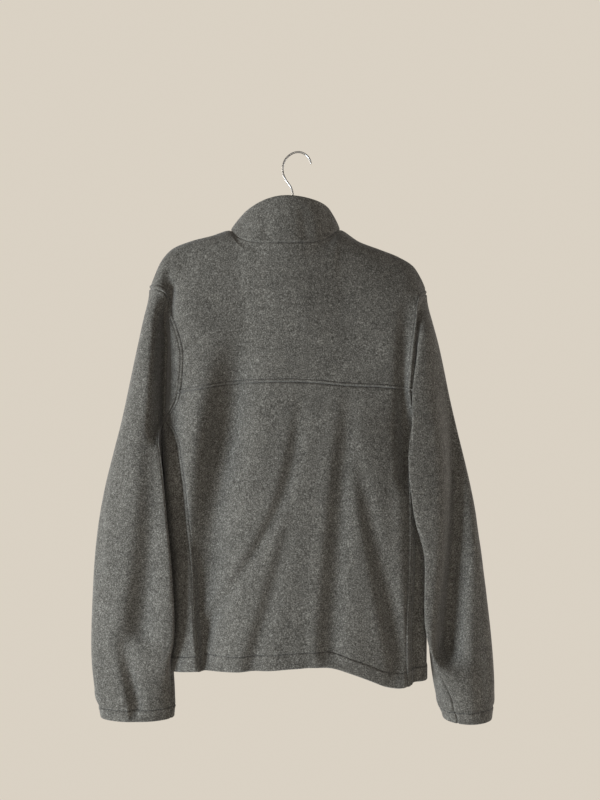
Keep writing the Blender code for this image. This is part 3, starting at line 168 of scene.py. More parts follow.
# Sleeve sections by height: outer and inner x, back and front y, how far the back half and the front half
# lean to the body, and the turn of the whole section about the arm's line in degrees.
#    z     outer  inner back front lean front turn
SLEEVE_LEFT = [
    (-215, 237.4, 205, 22, -24, 0, 0, 0),
    (-230, 240, 210, 27, -28, 4, 0, 0),
    (-255, 245, 217, 32, -31, 8, 0, 0),
    (-300, 252.5, 221, 37, -36, 13, 0, 0),
    (-360, 265.9, 221.5, 43, -42, 15, 0, 0),
    (-420, 278, 220, 47, -46, 18, 2, 0),
    (-455, 287, 218.5, 50, -48, 28, 22, 0),
    (-529, 306, 214, 53, -48, 42, 32, 0),
    (-580, 315, 211, 53, -45, 48, 28, 0),
    (-640, 321.8, 207, 51, -42, 54, 24, 0),
    (-700, 325, 204, 47, -38, 56, 28, 8),
    (-765, 327.8, 202, 41, -34, 55, 28, 16),
    (-805, 328, 200, 34, -32, 38, 20, 20),
    (-842, 324, 196.5, 28, -29, 18, 8, 22),
    (-870, 319, 196, 27, -27, 0, 0, 22),
    (-892, 312, 198.5, 25, -24, 0, 0, 22)]
SLEEVE_RIGHT = [
    (-223, -202.6, -176, 26, -24, 0, 0, 0),
    (-260, -209.5, -178, 40, -30, 4, 0, 0),
    (-300, -218, -183, 46, -34, 12, 0, 0),
    (-360, -231, -192, 52, -40, 34, 0, 0),
    (-391, -237, -198, 56, -42, 44, 0, 0),
    (-420, -243.5, -204, 59, -44, 52, 2, 0),
    (-455, -252, -207.5, 61, -46, 60, 10, 0),
    (-486, -259.6, -208.5, 61, -46, 66, 20, 0),
    (-530, -270, -208.5, 60, -46, 64, 22, 0),
    (-575, -279, -208, 57, -46, 62, 22, 6),
    (-598, -283, -207, 53, -46, 57, 22, 14),
    (-621, -286.5, -206, 50, -45, 47, 22, 26),
    (-676, -292.9, -206, 46, -42, 46, 24, 38),
    (-739, -300.8, -206, 43, -40, 48, 26, 46),
    (-802, -307, -208, 39, -37, 30, 18, 52),
    (-850, -308.7, -215, 36, -34, 0, 0, 56),
    (-876, -306.5, -222, 34, -32, 0, 0, 58),
    (-893, -303, -229, 32, -29, 0, 0, 58)]
LEAN_TURN = math.radians(7.0)  # rounds off the lobe that leans to the body
LEAN_POWER = 3.2  # the higher, the narrower that lobe
TURN_SET_IN = 0.5  # share of the sleeve's length over which the turn sets in
SLEEVE_ROUND = 0.8  # how far round its section the cloth has come at the armhole's top, 1 at the underarm
LEAST_SHARE = 1e-6  # keeps the overarm line from dividing by nothing

# Rings next to the armhole seam: how far each has come from the seam to the sleeve's section, and how deep the
# crease between body and sleeve is there at the back and at the front.
#               ring: 0    1     2     3     4     5     6     7
SEAM_TO_SECTION_X = [0.0, 0.25, 0.50, 0.72, 0.86, 0.95, 1.0, 1.0]
SEAM_TO_SECTION_Y = [0.0, 0.12, 0.30, 0.52, 0.72, 0.88, 0.97, 1.0]
UNDERARM_LEAD = 0.35  # how much sooner the cloth comes out to the section's x at the underarm
UNDERARM_FROM, UNDERARM_BLEND = 0.3, 0.15  # round the armhole, 0 top, 0.5 underarm
CREASE_LEFT_BACK = [0.0, 3.0, 8.0, 10.0, 8.0, 4.0, 1.0, 0.0]
CREASE_RIGHT_BACK = [0.0, 2.0, 5.0, 6.0, 4.0, 1.0, 0.0, 0.0]
CREASE_FRONT = [0.0, 4.0, 9.0, 11.0, 9.0, 5.0, 2.0, 0.0]
CREASE_FROM, CREASE_FULL, CREASE_LESS, CREASE_TO = 0.09, 0.18, 0.27, 0.38  # round the armhole, 0.5 underarm

# Creases in the cloth, each a soft step or trough along a line of three points (x, z).
# Width and depth grow from the first end to the last; skew lifts a ridge on the +x side of the trough.
#    from         through      to           width     depth     skew
BACK_FOLDS = [
    ((98, -250), (142, -510), (172, -790), (26, 30), (15, 10.0), 2.0),
    ((-5, -350), (33, -545), (149, -745), (10, 12), (2.6, 3.4), 1.6),
    ((6, -520), (36, -640), (78, -790), (10, 14), (1, 3.8), 1.6),
    ((-74, -340), (-55, -540), (-38, -770), (12, 17), (3.6, 4.6), 1.6),
    ((-74, -430), (-101, -575), (-148, -790), (10, 15), (2, 4.4), 1.6),
    ((-5, -680), (-7, -745), (-10, -830), (7, 9), (0, 2.4), 0.8),
    ((202, -165), (203, -200), (205, -262), (6, 7), (3, 12.0), 0.0),
    ((-165, -215), (-161, -340), (-165, -500), (8, 9), (6, 13.0), 0.0),
    ((-154, -430), (-156, -600), (-162, -815), (9, 10), (-2, -5.0), 0.0)]
FRONT_FOLDS = [
    ((120, -260), (140, -430), (120, -760), (14, 20), (0, 8.0), 1.0),
    ((70, -400), (78, -560), (92, -800), (11, 15), (0, 4.5), -1.4),
    ((-70, -290), (-100, -480), (-120, -790), (12, 18), (0, 7.0), -1.2),
    ((-46, -430), (-60, -600), (-66, -800), (10, 14), (0, 4.5), 1.4)]
SLEEVE_FOLDS_LEFT = [
    ((207, -232), (213, -330), (216, -425), (10, 11), (22, 28.0), 0.0),
    ((230, -330), (240, -620), (256, -745), (20, 32), (0, 9.0), 1.6),
    ((286, -420), (300, -560), (306, -650), (8, 12), (0, 3.5), -0.8),
    ((281, -725), (270, -800), (259, -858), (20, 14), (3, 7.0), 1.0)]
SLEEVE_FOLDS_RIGHT = [
    ((-206, -270), (-238, -515), (-229, -775), (11, 15), (8, 38.0), 0.3),
    ((-268, -640), (-276, -760), (-280, -860), (8, 12), (0, 4.0), 0.6)]
SLEEVE_FOLDS_FRONT_LEFT = [
    ((262, -380), (262, -560), (240, -760), (12, 18), (0, 8.0), 0.6)]
SLEEVE_FOLDS_FRONT_RIGHT = [
    ((-238, -400), (-246, -560), (-270, -760), (12, 18), (0, 8.0), -0.6)]
FOLD_FADE = 0.36  # share of a crease's length over which it sets in
FOLD_END = 40.0  # length over which it runs out below its last point
COLLAR_FOLDS = [
    ((58, -88), (56, -112), (52, -146), (6, 8), (1.6, 2.4), 0.6),
    ((-2, -86), (-5, -112), (-8, -146), (7, 9), (1.6, 2.4), 0.5),
    ((-44, -92), (-46, -108), (-42, -132), (4, 6), (2.0, 3.0), -0.4),
    ((76, -108), (86, -118), (94, -134), (3, 4), (1.5, 3.0), 0.5)]
SIDE_FOLDS_RIGHT = [((-180, -430), (-182, -600), (-184, -850), (12, 13), (12, 15.0), 0.0)]
SHARP = 0.9  # share of the tables' widths that the creases are drawn with
SHARPER = 0.6  # behind the left arm
FACING = 1.6  # how soon a tube's creases reach their depth as it turns to the viewer
# The creases of each piece: table, the side they face (back 1), sharpness, and the widths kept free of creases
# below the upper edge and beside the left and right one.
FOLDS = {"back_yoke": [(BACK_FOLDS, 1, SHARP, (22, 13, 13))],
         "back_body": [(BACK_FOLDS, 1, SHARP, (0, 13, 13))],
         "side_left": [],
         "side_right": [(SIDE_FOLDS_RIGHT, 1, SHARP, (22, 6, 6))],
         "front_left": [(FRONT_FOLDS, -1, SHARP, (22, 13, 22))],
         "front_right": [(FRONT_FOLDS, -1, SHARP, (22, 13, 22))],
         "collar": [(COLLAR_FOLDS, 1, SHARP, (9, 0, 0))],
         "sleeve_left": [(SLEEVE_FOLDS_LEFT, 1, SHARPER, (30, 0, 0)),
                         (SLEEVE_FOLDS_FRONT_LEFT, -1, SHARP, (30, 0, 0))],
         "sleeve_right": [(SLEEVE_FOLDS_RIGHT, 1, SHARP, (30, 0, 0)),
                          (SLEEVE_FOLDS_FRONT_RIGHT, -1, SHARP, (30, 0, 0))]}

# Small relief of the finished cloth
STEP = 3.2  # between its points
FINE_STEP = 1.0  # beside seams, stitch lines and edges
FINE_REACH = 11.0
WRAP = 3  # columns that a tube's grid is carried on past its first and last one
DITCH_DEPTH = 2.2  # the valley along a seam
DITCH_WIDTH = 1.5
WELT_HEIGHT = 1.2  # cloth raised by the seam allowance under it
WELT_RISE = 2.0
STITCH_DEPTH = 1.1  # groove pulled in by a line of topstitching
STITCH_WIDTH = 0.9
FELL_WIDTH = 6.5  # from a seam to its topstitching
YOKE_FELL_WIDTH = 4.5
CUFF_HEM = 19.0
ZIP_STITCH = 6.0  # from the front edges
EDGE_ROUND = 0.42  # share of the thickness that a folded edge is rounded by
PUCKER = 0.28  # puckers between the stitches
PUCKER_REACH = 5.0
PUCKER_PITCH = 11.0
PUCKER_SEED = 7
GATHER = 0.55  # gathers of the cuffs above their hem
GATHER_REACH = 11.0
GATHER_PITCH = 8.0
GATHER_SEED = 11
GATHER_STRETCH = (1, 1, 0.12)
WAVER_WAVES = 14
WAVER_SPREAD = (0.7, 1.5)  # of the waves' lengths

# How each edge of a piece is finished: its kind and how far in its stitching runs.
SEAM = ("seam", 0)
FELLED = ("felled", FELL_WIDTH)
HEM = ("hem", HEM_HEIGHT)
FRONT_EDGE = ("edge", ZIP_STITCH)
FINISHES = {"back_yoke": {"top": SEAM, "bottom": ("felled", YOKE_FELL_WIDTH), "left": FELLED, "right": FELLED},
            "back_body": {"top": SEAM, "bottom": HEM, "left": FELLED, "right": FELLED},
            "side": {"top": SEAM, "bottom": HEM, "left": SEAM, "right": SEAM},
            "front": {"top": SEAM, "bottom": HEM, "left": FELLED, "right": FRONT_EDGE},
            "collar": {"top": SEAM, "bottom": ("edge", 0), "left": FRONT_EDGE, "right": FRONT_EDGE},
            "sleeve": {"top": SEAM, "bottom": ("hem", CUFF_HEM)}}

# Stitches
STITCH_PITCH = 3.4
STITCH_HALF = 1.25  # half the length of one stitch
THREAD_RADIUS = 0.38
THREAD_RISE = 0.10  # of the thread's middle above the bottom of its groove
THREAD_SIDES = 5
THREAD_PROFILE = [(-1.0, 0.35), (-0.55, 1.0), (0.55, 1.0), (1.0, 0.35)]  # shares of half length and radius
LINE_ENDS = 4.0  # free of stitches at both ends of a line

# Zip
ZIP_COLLAR_SHARES = (0.25, 0.5, 0.7, 0.75)  # sections of the zip up the collar, to just below the slider
COLLAR_ZIP = 56.0  # length of the zip's upper end, inside the collar
TAPE_HALF_WIDTH = 12.0
TAPE_HALF_NARROW = 3.1  # inside the collar only the chain's width is left
TAPE_NARROWS_IN = 8.0
TAPE_THICKNESS = 1.0
TAPE_SLIT = 0.35  # half the slit between the two tapes, under the teeth
TAPE_STEP = 3.0
TAPE_COLUMNS = 9
TAPE_ENDS = 0.5, 1.0  # free at the hem and at the slider
HEM_STEP = 4.0  # height over which the tape comes forward above the hem
TOOTH_PITCH = 1.7
TOOTH_HALF = 0.62  # half its height along the zip
TOOTH_REACH = 3.0
TOOTH_OVER = 0.8  # how far it reaches past the middle between its neighbours
TOOTH_DEPTHS = (0.4, 0.95, 2.7)  # front, shoulder and base, below the cloth's outer face
TOOTH_CHAMFER = 0.28
TEETH_END = 2.0  # free below the slider
FRAME_STEP = 0.5  # over which the zip's direction is taken
BOX_HEIGHT = 9.0  # of the box that the zip's lower end runs into
BOX_REACH = 3.2
BOX_DEPTHS = (0.2, 0.9, 3.4)
BOX_CHAMFER = 0.6

# Wire hook, from its tip into the hanger (x, z)
WIRE_RADIUS = 1.5
HOOK = [(-19, -17.5), (-17.2, -11.0), (-11.5, -3.2), (0, 1.5), (11.5, -1.2), (20.5, -9), (25.2, -20),
        (25.2, -32), (20, -44), (13, -54), (10, -64), (10.5, -80), (12, -97), (12, -124)]
HOOK_SECTIONS = 150
HOOK_SIDES = 18
TIP_SHARES = np.array([0.02, 0.12, 0.3, 0.6, 1.0])  # sections of the rounded tip, shares of the wire's radius

# Angles in degrees from which an edge stays sharp
CLOTH_EDGE = 55
METAL_EDGE = 30
WIRE_EDGE = 60

# Finishes: linear colours with their place in the noise; scales are for coordinates in metres.
FIBRES = [(0.30, (0.046, 0.043, 0.038)), (0.46, (0.124, 0.119, 0.110)), (0.56, (0.190, 0.185, 0.173)),
          (0.70, (0.38, 0.375, 0.355))]
FIBRE_SCALE = 500.0
NAP_SCALE = 380.0
MOTTLES = [(150.0, 0.80, 1.16), (24.0, 0.90, 1.08)]  # scale, darkest and lightest share
BEECH = [(0.30, (0.36, 0.21, 0.105)), (0.50, (0.52, 0.33, 0.18)), (0.72, (0.63, 0.43, 0.26))]
BEECH_GRAIN = (9.0, 190.0, 190.0)
BEECH_FLECKS = (120.0, 900.0, 900.0)
FLECKS = [(0.28, 0.62), (0.40, 1.0)]
METALS = {"zip_metal": ((0.40, 0.40, 0.41), 0.30, 700.0, 0.10),  # colour, roughness, wear's scale, bump
          "steel_wire": ((0.60, 0.60, 0.61), 0.20, 90.0, 0.02)}
YARNS = {"thread": ((0.050, 0.052, 0.055), 420.0), "zip_tape": ((0.085, 0.086, 0.090), 520.0)}  # colour, ribs
FLOOR_COLOUR = (0.72, 0.69, 0.63, 1)

# Camera, backdrop and light
CAMERA_PLACE = (-0.0016, 1.25, -0.391)
CAMERA_LENS = 23.688
SENSOR = 24.0
BACKDROP = (0.70, 0.64, 0.55, 1)
FILL = (1.0, 0.96, 0.90, 1)
FILL_STRENGTH = 0.08
LIT = np.array([0, 0, -0.45])  # where the lights point
#          name      place              size        power  colour
LIGHTS = [("window", (3.0, 1.5, -1.35), (1.3, 1.5), 106.0, (0.88, 0.96, 1.0)),
          ("room", (0.1, 2.3, -0.2), (1.6, 1.6), 12.0, (1.0, 0.92, 0.80)),
          ("side", (-2.2, -0.3, -0.2), (1.2, 1.8), 17.0, (1.0, 0.94, 0.86)),
          ("lamp", (2.8, 0.5, 0.5), (1.0, 1.4), 20.0, (1.0, 0.90, 0.74)),
          ("behind", (2.2, -1.7, 0.2), (1.2, 1.6), 30.0, (1.0, 0.96, 0.90))]
FLOOR_DROP = 1.9  # the hook's height above the floor
FLOOR_RADIUS = 1.6
FLOOR_SEGMENTS = 96


# ---------- curves

def smooth(x):
    x = np.clip(x, 0.0, 1.0)
    return x * x * (3 - 2 * x)


def bell(distance, width):
    return np.exp(-((distance / width) ** 2))


def unit(vectors):
    return vectors / np.linalg.norm(vectors, axis=-1, keepdims=True)


def run_length(points, axis=0):
    """Distance along a line, or along every line of a grid, from its first point."""
    steps = np.linalg.norm(np.diff(points, axis=axis), axis=-1)
    return np.insert(np.cumsum(steps, axis=axis), 0, 0.0, axis=axis)


class Curve:
    """Smooth curve through the rows of a table, read by share of its length or by the stations given."""

    def __init__(self, rows, at=None):
        self.rows = np.array(rows, float)
        if at is None:
            at = run_length(self.rows)
            at = at / at[-1]
        self.at = np.array(at, float)
        self.slopes = np.gradient(self.rows, self.at, axis=0)

    def __call__(self, where):
        where = np.clip(np.asarray(where, float), self.at[0], self.at[-1])
        k = np.clip(np.searchsorted(self.at, where, side="right") - 1, 0, len(self.at) - 2)
        span = self.at[k + 1] - self.at[k]
        s = ((where - self.at[k]) / span)[..., None]
        span = span[..., None]
        start = (1 + 2 * s) * (1 - s) ** 2 * self.rows[k] + s * (1 - s) ** 2 * span * self.slopes[k]
        end = s * s * (3 - 2 * s) * self.rows[k + 1] + s * s * (s - 1) * span * self.slopes[k + 1]
        return start + end


def by_height(table):
    """Curve through rows that end in z, read by the depth below z = 0."""
    return Curve(table, at=[-row[-1] for row in table])


def crease(folds, x, z):
    """Depth change of the cloth at x, z from every crease of a table, positive outwards."""
    total = np.zeros(np.shape(x))
    for start, through, end, widths, depths, skew in folds:
        share = np.clip((start[1] - z) / (start[1] - end[1]), 0.0, 1.0)
        middle = (start[1] - through[1]) / (start[1] - end[1])
        line = Curve([[start[0]], [through[0]], [end[0]]], at=[0.0, middle, 1.0])(share)[..., 0]
        width = widths[0] + (widths[1] - widths[0]) * share
        set_in = smooth(share / FOLD_FADE) * (1 - smooth((end[1] - z) / FOLD_END))
        depth = (depths[0] + (depths[1] - depths[0]) * share) * set_in
        off = (x - line) / width
        total += depth * (skew * off - 1.0) * np.exp(-off * off / 2)
    return total


# ---------- body panels

def shoulder_rise(x, z):
    """Share of the chest's depth reached at x, z: round the hanger's edge, then down a slope."""
    right, left = np.array(SHOULDER_RIGHT)[:, ::2], np.array(SHOULDER_LEFT)[::-1, ::2]
    crest = np.concatenate([right, NECK_BRIDGE, left])
    drop = Curve(crest[:, 1:], at=crest[:, 0])(x)[..., 0] - z
    from_neck = np.maximum(0.0, np.maximum(x - SHOULDER_LEFT[-1][0], SHOULDER_RIGHT[-1][0] - x))
    radius = CREST_RADIUS + (CREST_RADIUS_NECK - CREST_RADIUS) * bell(from_neck, CREST_NARROWS_IN)
    edge = radius / CHEST_DEPTH
    turn = np.clip(drop / radius, 0.0, 1.0)
    slope = np.sin(math.pi / 2 * np.clip(drop / SHOULDER_SLOPE, 0.0, 1.0))
    return edge * np.sqrt(1 - (1 - turn) ** 2) + (1 - edge) * slope


def patch(top, bottom, left, right, across, down, from_shoulder=False):
    """Grid between four seam lines, given the share of the way across of each column and down of each point.

    In x and z the side lines reach evenly across the patch; in y they only bend its margins, and below the
    shoulders y follows the slope from the shoulder line.
    """
    reach = down[..., None]
    pull = across[:, None]
    grid = (1 - reach) * top + reach * bottom
    grid = grid + (1 - pull) * (left[:, None] - grid[:, :1]) + pull * (right[:, None] - grid[:, -1:])
    if from_shoulder:
        y = bottom[:, 1] * shoulder_rise(grid[..., 0], grid[..., 2])
    else:
        y = (1 - down) * top[:, 1] + down * bottom[:, 1]
    y = y + (top[:, 1] - y[0]) * (1 - down) ** END_FADE + (bottom[:, 1] - y[-1]) * down**END_FADE
    y = (y + (1 - across) ** EDGE_FADE * (left[:, 1, None] - y[:, :1])
         + across**EDGE_FADE * (right[:, 1, None] - y[:, -1:]))
    grid[..., 1] = y
    return grid


def relaxed(grid, weight):
    """Grid whose inner points are drawn towards their neighbours in y, by the weight of their column."""
    y = grid[..., 1]
    for _ in range(RELAX_ROUNDS):
        around = (y[:-2, 1:-1] + y[2:, 1:-1] + y[1:-1, :-2] + y[1:-1, 2:]) / 4
        y[1:-1, 1:-1] += weight[1:-1] * (around - y[1:-1, 1:-1])
    return grid


def oval(angle, edge):
    """Point of the collar's seam or top edge at an angle, 0 at the left, a quarter turn at the back."""
    side, back = np.cos(angle), np.sin(angle)
    y = edge["centre"][1] + back * np.where(back > 0, edge["to_back"], edge["to_front"])
    left_curve, right_curve = edge["back_curve"]
    rise = np.abs(back) ** (right_curve + (left_curve - right_curve) * smooth((side + 1) / 2))
    if edge["eased"]:
        rise = smooth(rise)
    fall = np.abs(back) ** edge["front_curve"]
    z = edge["side_z"] + np.where(back > 0, edge["back_rise"] * rise, -edge["front_drop"] * fall)
    return np.stack([edge["centre"][0] + edge["half_width"] * side, y, z], axis=-1)


def neck_angles():
    """Angles of the collar's columns, from the zip to the left shoulder, and from there to the right one."""
    side = math.asin(-NECK["centre"][1] / NECK["to_back"])
    front = np.linspace(-math.pi / 2, side, NECK_COLUMNS // 2 + 1)
    back = np.linspace(side, math.pi - side, NECK_COLUMNS + 1)[1:]
    return front, back


def upper_down(under_neck):
    """Share of the way down of an upper patch's points; the columns under the neck have rows of their own."""
    return UPPER_ROWS[:, None] + (NECK_ROWS - UPPER_ROWS)[:, None] * under_neck


def seam_rows(armhole, seam):
    """Side line of a lower patch: the end of the armhole, then the side panel's seam."""
    upper = Curve(armhole)(LOWER_ROWS[:ARMPIT_ROW + 1] / ARMPIT_SHARE)
    lower = Curve(seam)((LOWER_ROWS[ARMPIT_ROW + 1:] - ARMPIT_SHARE) / (1 - ARMPIT_SHARE))
    return np.concatenate([upper, lower])


def back_grids():
    """The yoke and the back below it, from the left to the right."""
    front_angles, back_angles = neck_angles()
    left, right = Curve(SHOULDER_LEFT)(SHOULDER_SHARES), Curve(SHOULDER_RIGHT)(SHOULDER_SHARES)
    neck = oval(np.concatenate([front_angles[-1:], back_angles]), NECK)
    top = np.concatenate([left[:-1], neck, right[::-1][1:]])
    across = np.concatenate([SHOULDER_SHARES[:-1] * BACK_NECK_FROM,
                             np.linspace(BACK_NECK_FROM, BACK_NECK_TO, NECK_COLUMNS + 1),
                             1 - SHOULDER_SHARES[-2::-1] * (1 - BACK_NECK_TO)])
    blend = BACK_NECK_BLEND
    under_neck = smooth((across - BACK_NECK_FROM + blend) / blend)
    under_neck *= smooth((BACK_NECK_TO + blend - across) / blend)
    down = upper_down(under_neck)
    yoke_line = Curve(YOKE_SEAM)(across)
    armholes = Curve(ARMHOLE_BACK_LEFT[0])(down[:, 0]), Curve(ARMHOLE_BACK_RIGHT[0])(down[:, -1])
    yoke = patch(top, yoke_line, *armholes, across, down, from_shoulder=True)
    corners = bell(across - BACK_NECK_FROM, RELAX_REACH) + bell(across - BACK_NECK_TO, RELAX_REACH)
    body = patch(yoke_line, Curve(HEM_BACK)(across), seam_rows(ARMHOLE_BACK_LEFT[1], SEAM_BACK_LEFT),
                 seam_rows(ARMHOLE_BACK_RIGHT[1], SEAM_BACK_RIGHT), across, LOWER_ROWS[:, None])
    return relaxed(yoke, np.minimum(corners, 1.0)), body


def front_grid(side):
    """One front from the side seam to the zip, left (+1) or right (-1)."""
    shoulder, armhole, seam, chest, hem = {
        1: (SHOULDER_LEFT, ARMHOLE_FRONT_LEFT, SEAM_FRONT_LEFT, CHEST_LEFT, HEM_FRONT_LEFT),
        -1: (SHOULDER_RIGHT, ARMHOLE_FRONT_RIGHT, SEAM_FRONT_RIGHT, CHEST_RIGHT, HEM_FRONT_RIGHT)}[side]
    angles = neck_angles()[0][::-1]
    neck = oval(angles if side > 0 else math.pi - angles, NECK)
    neck[-1] = ZIP_LINE[0]
    top = np.concatenate([Curve(shoulder)(SHOULDER_SHARES)[:-1], neck])
    across = np.concatenate([SHOULDER_SHARES[:-1] * FRONT_NECK_FROM,
                             np.linspace(FRONT_NECK_FROM, 1, len(neck))])
    down = upper_down(smooth((across - FRONT_NECK_FROM + FRONT_NECK_BLEND) / FRONT_NECK_BLEND))
    zip_line = by_height(ZIP_LINE)
    neck_z, chest_z, hem_z = (-ZIP_LINE[row][2] for row in (0, ZIP_CHEST_ROW, -1))
    chest_line = Curve(chest)(across)
    upper = patch(top, chest_line, Curve(armhole[0])(down[:, 0]),
                  zip_line(neck_z + down[:, -1] * (chest_z - neck_z)), across, down, from_shoulder=True)
    upper = relaxed(upper, bell(across - FRONT_NECK_FROM - RELAX_REACH / 2, 2 * RELAX_REACH))
    lower = patch(chest_line, Curve(hem)(across), seam_rows(armhole[1], seam),
                  zip_line(chest_z + LOWER_ROWS * (hem_z - chest_z)), across, LOWER_ROWS[:, None])
    return np.concatenate([upper, lower[1:]])


def side_grid(back, front, outermost):
    """Side panel from its back seam round the side to its front seam."""
    turn = np.linspace(0, math.pi, SIDE_COLUMNS + 1)
    swing = np.sign(np.cos(turn)) * np.abs(np.cos(turn)) ** SIDE_SWING
    lift = np.sin(turn) ** SIDE_LIFT
    top, low = -outermost[0][2], -outermost[-1][2]
    centre = by_height(outermost)(top + (low - top) * np.arange(len(back)) / (len(back) - 1))
    mean = (back + front) / 2
    grid = mean[:, None] + swing[:, None] * (back - front)[:, None] / 2
    grid += lift[:, None] * (centre - mean)[:, None]
    grid[:, 0], grid[:, -1] = back, front
    return grid


def collar_grid():
    """The collar from the zip round the back to the zip again, curved out between its two edges."""
    front, back = neck_angles()
    angles = np.concatenate([front, back, math.pi - front[::-1][1:]])
    low, high = oval(angles, NECK), oval(angles, COLLAR_TOP)
    low[0] = low[-1] = ZIP_LINE[0]
    high[0] = high[-1] = (high[0] + high[-1]) / 2
    out = np.stack([np.cos(angles), np.sin(angles), np.zeros(len(angles))], axis=-1)
    off_zip = smooth((np.sin(angles) + 1) / COLLAR_BULGE_FROM)
    up = COLLAR_ROWS[:, None, None]
    return low + up * (high - low) + COLLAR_BULGE * np.sin(math.pi * up) * off_zip[:, None] * out


# ---------- sleeves

def sleeve_grid(back, front, underarm, table, back_crease):
    """Rings from the armhole to the cuff. Column 0 is the overarm line, the middle column the underarm."""
    armhole = np.concatenate([back, underarm[1:-1], front[::-1][:-1]])
    count = len(armhole)
    column = np.arange(count)
    at_back = column <= count // 2
    near = np.where(at_back, column / count, 1 - column / count)  # 0 at the overarm line, 0.5 at the underarm
    section = Curve([row[1:] for row in table], at=[-row[0] for row in table])
    top, lowest, cuff_z = armhole[0, 2], armhole[:, 2].min(), table[-1][0]
    window = (smooth((near - CREASE_FROM) / (CREASE_FULL - CREASE_FROM))
              * smooth((CREASE_TO - near) / (CREASE_TO - CREASE_LESS)))
    grid = []
    for k, share in enumerate(SLEEVE_ROWS):
        z = armhole[:, 2] + (cuff_z - armhole[:, 2]) * share
        limit = np.empty(count)  # how far round the armhole has come down to this height
        for half in (column[at_back], column[~at_back][::-1]):
            heights = np.append(-armhole[half, 2], 1.0 - lowest)
            limit[half] = np.interp(-z[half], heights, np.append(near[half], 0.5))
        reach = SLEEVE_ROUND + (1 - SLEEVE_ROUND) * smooth((top - z) / (top - lowest))
        angle = math.pi * near / np.maximum(np.maximum(limit, near), LEAST_SHARE) * reach
        outer, inner, back_y, front_y, lean, front_lean, turn = np.moveaxis(section(-z), -1, 0)
        angle = np.where(at_back, angle, -angle) - np.radians(turn) * smooth(share / TURN_SET_IN)
        rise = np.sin(angle)
        over = np.maximum(np.sin(angle - LEAN_TURN), 0.0) ** LEAN_POWER
        x = (outer + inner) / 2 + (outer - inner) / 2 * np.cos(angle)
        x += np.sign(inner - outer) * (lean * over + front_lean * np.maximum(-rise, 0.0) ** 2)
        y = (back_y + front_y) / 2 + (back_y - front_y) / 2 * rise
        if k < len(SEAM_TO_SECTION_X):
            under = UNDERARM_LEAD * smooth((near - UNDERARM_FROM) / UNDERARM_BLEND) if k else 0.0
            share_x = SEAM_TO_SECTION_X[k] + (1 - SEAM_TO_SECTION_X[k]) * under
            x = armhole[:, 0] + (x - armhole[:, 0]) * share_x
            y = armhole[:, 1] + (y - armhole[:, 1]) * SEAM_TO_SECTION_Y[k]
            y += window * np.where(at_back, -back_crease[k], CREASE_FRONT[k])
        grid.append(np.stack([x, y, z], axis=-1))
    grid = np.array(grid)
    beside = np.roll(grid, 1, axis=1) + np.roll(grid, -1, axis=1)
    around = grid[:-2] + grid[2:] + beside[1:-1]
    grid[1:-1, :, :2] = (grid[1:-1, :, :2] + around[..., :2] / 4) / 2
    return grid


# ---------- fine cloth

def panel_normals(grid, outward, closed):
    """Outward unit normal at every point of a panel, evened out away from its edges."""
    across = np.roll(grid, -1, axis=1) - np.roll(grid, 1, axis=1) if closed else np.gradient(grid, axis=1)
    normals = unit(np.cross(across, np.gradient(grid, axis=0)) * outward)
    inner = np.s_[1:-1] if closed else np.s_[1:-1, 1:-1]
    for _ in range(NORMAL_SMOOTHING):
        rows, columns = (np.roll(normals, 1, axis=k) + np.roll(normals, -1, axis=k) for k in (0, 1))
        normals[inner] = unit(normals + rows + columns)[inner]
    return normals


def slotted(grid, normals, edges):
    """Panel whose edges at the zip, each a column and the one inside it, are drawn back by half the slot."""
    moved = grid.copy()
    for edge, inner in edges:
        square = unit(np.cross(normals[:, edge], np.gradient(grid[:, edge], axis=0)))
        inwards = np.sign(np.sum(square * (grid[:, inner] - grid[:, edge]), axis=-1, keepdims=True))
        moved[:, edge] += square * inwards * (ZIP_SLOT / 2)
    return moved


def fine_stations(length, lines):
    """Places from 0 to the length, close together near the given lines."""
    places = [0.0]
    while places[-1] < length - FINE_STEP / 2:
        near = any(-FINE_REACH / 2 < line - places[-1] < FINE_REACH for line in lines)
        places.append(min(places[-1] + (FINE_STEP if near else STEP), length))
    places[-1] = length
    return np.array(places)


def edge_stations(length, first, last):
    """The same, close together at both edges and their stitching."""
    return fine_stations(length, [0.0, first[1], length, length - last[1]])


def resampled(values, row_at, column_at, rows, columns):
    """Values of a coarse grid at finer rows and columns."""
    tall = Curve(values.reshape(len(row_at), -1), at=row_at)(rows).reshape(len(rows), len(column_at), -1)
    wide = np.moveaxis(tall, 1, 0).reshape(len(column_at), -1)
    fine = Curve(wide, at=column_at)(columns).reshape(len(columns), len(rows), -1)
    return np.moveaxis(fine, 0, 1)


def waver(points, seed, size, depth):
    """Soft unevenness in space, from waves of about one size in mixed directions."""
    draw = np.random.default_rng(seed)
    total = np.zeros(points.shape[:-1])
    for _ in range(WAVER_WAVES):
        direction = draw.normal(size=3)
        direction /= np.linalg.norm(direction) * size * draw.uniform(*WAVER_SPREAD)
        total += np.sin(points @ direction * 2 * math.pi + draw.uniform(0, 2 * math.pi))
    return total * depth / math.sqrt(WAVER_WAVES)


def rounding(distance, radius):
    """How far a surface has turned away, at a distance from the edge that it rounds over."""
    turn = np.clip(1 - distance / radius, 0.0, 1.0)
    return radius * (1 - np.sqrt(1 - turn**2))


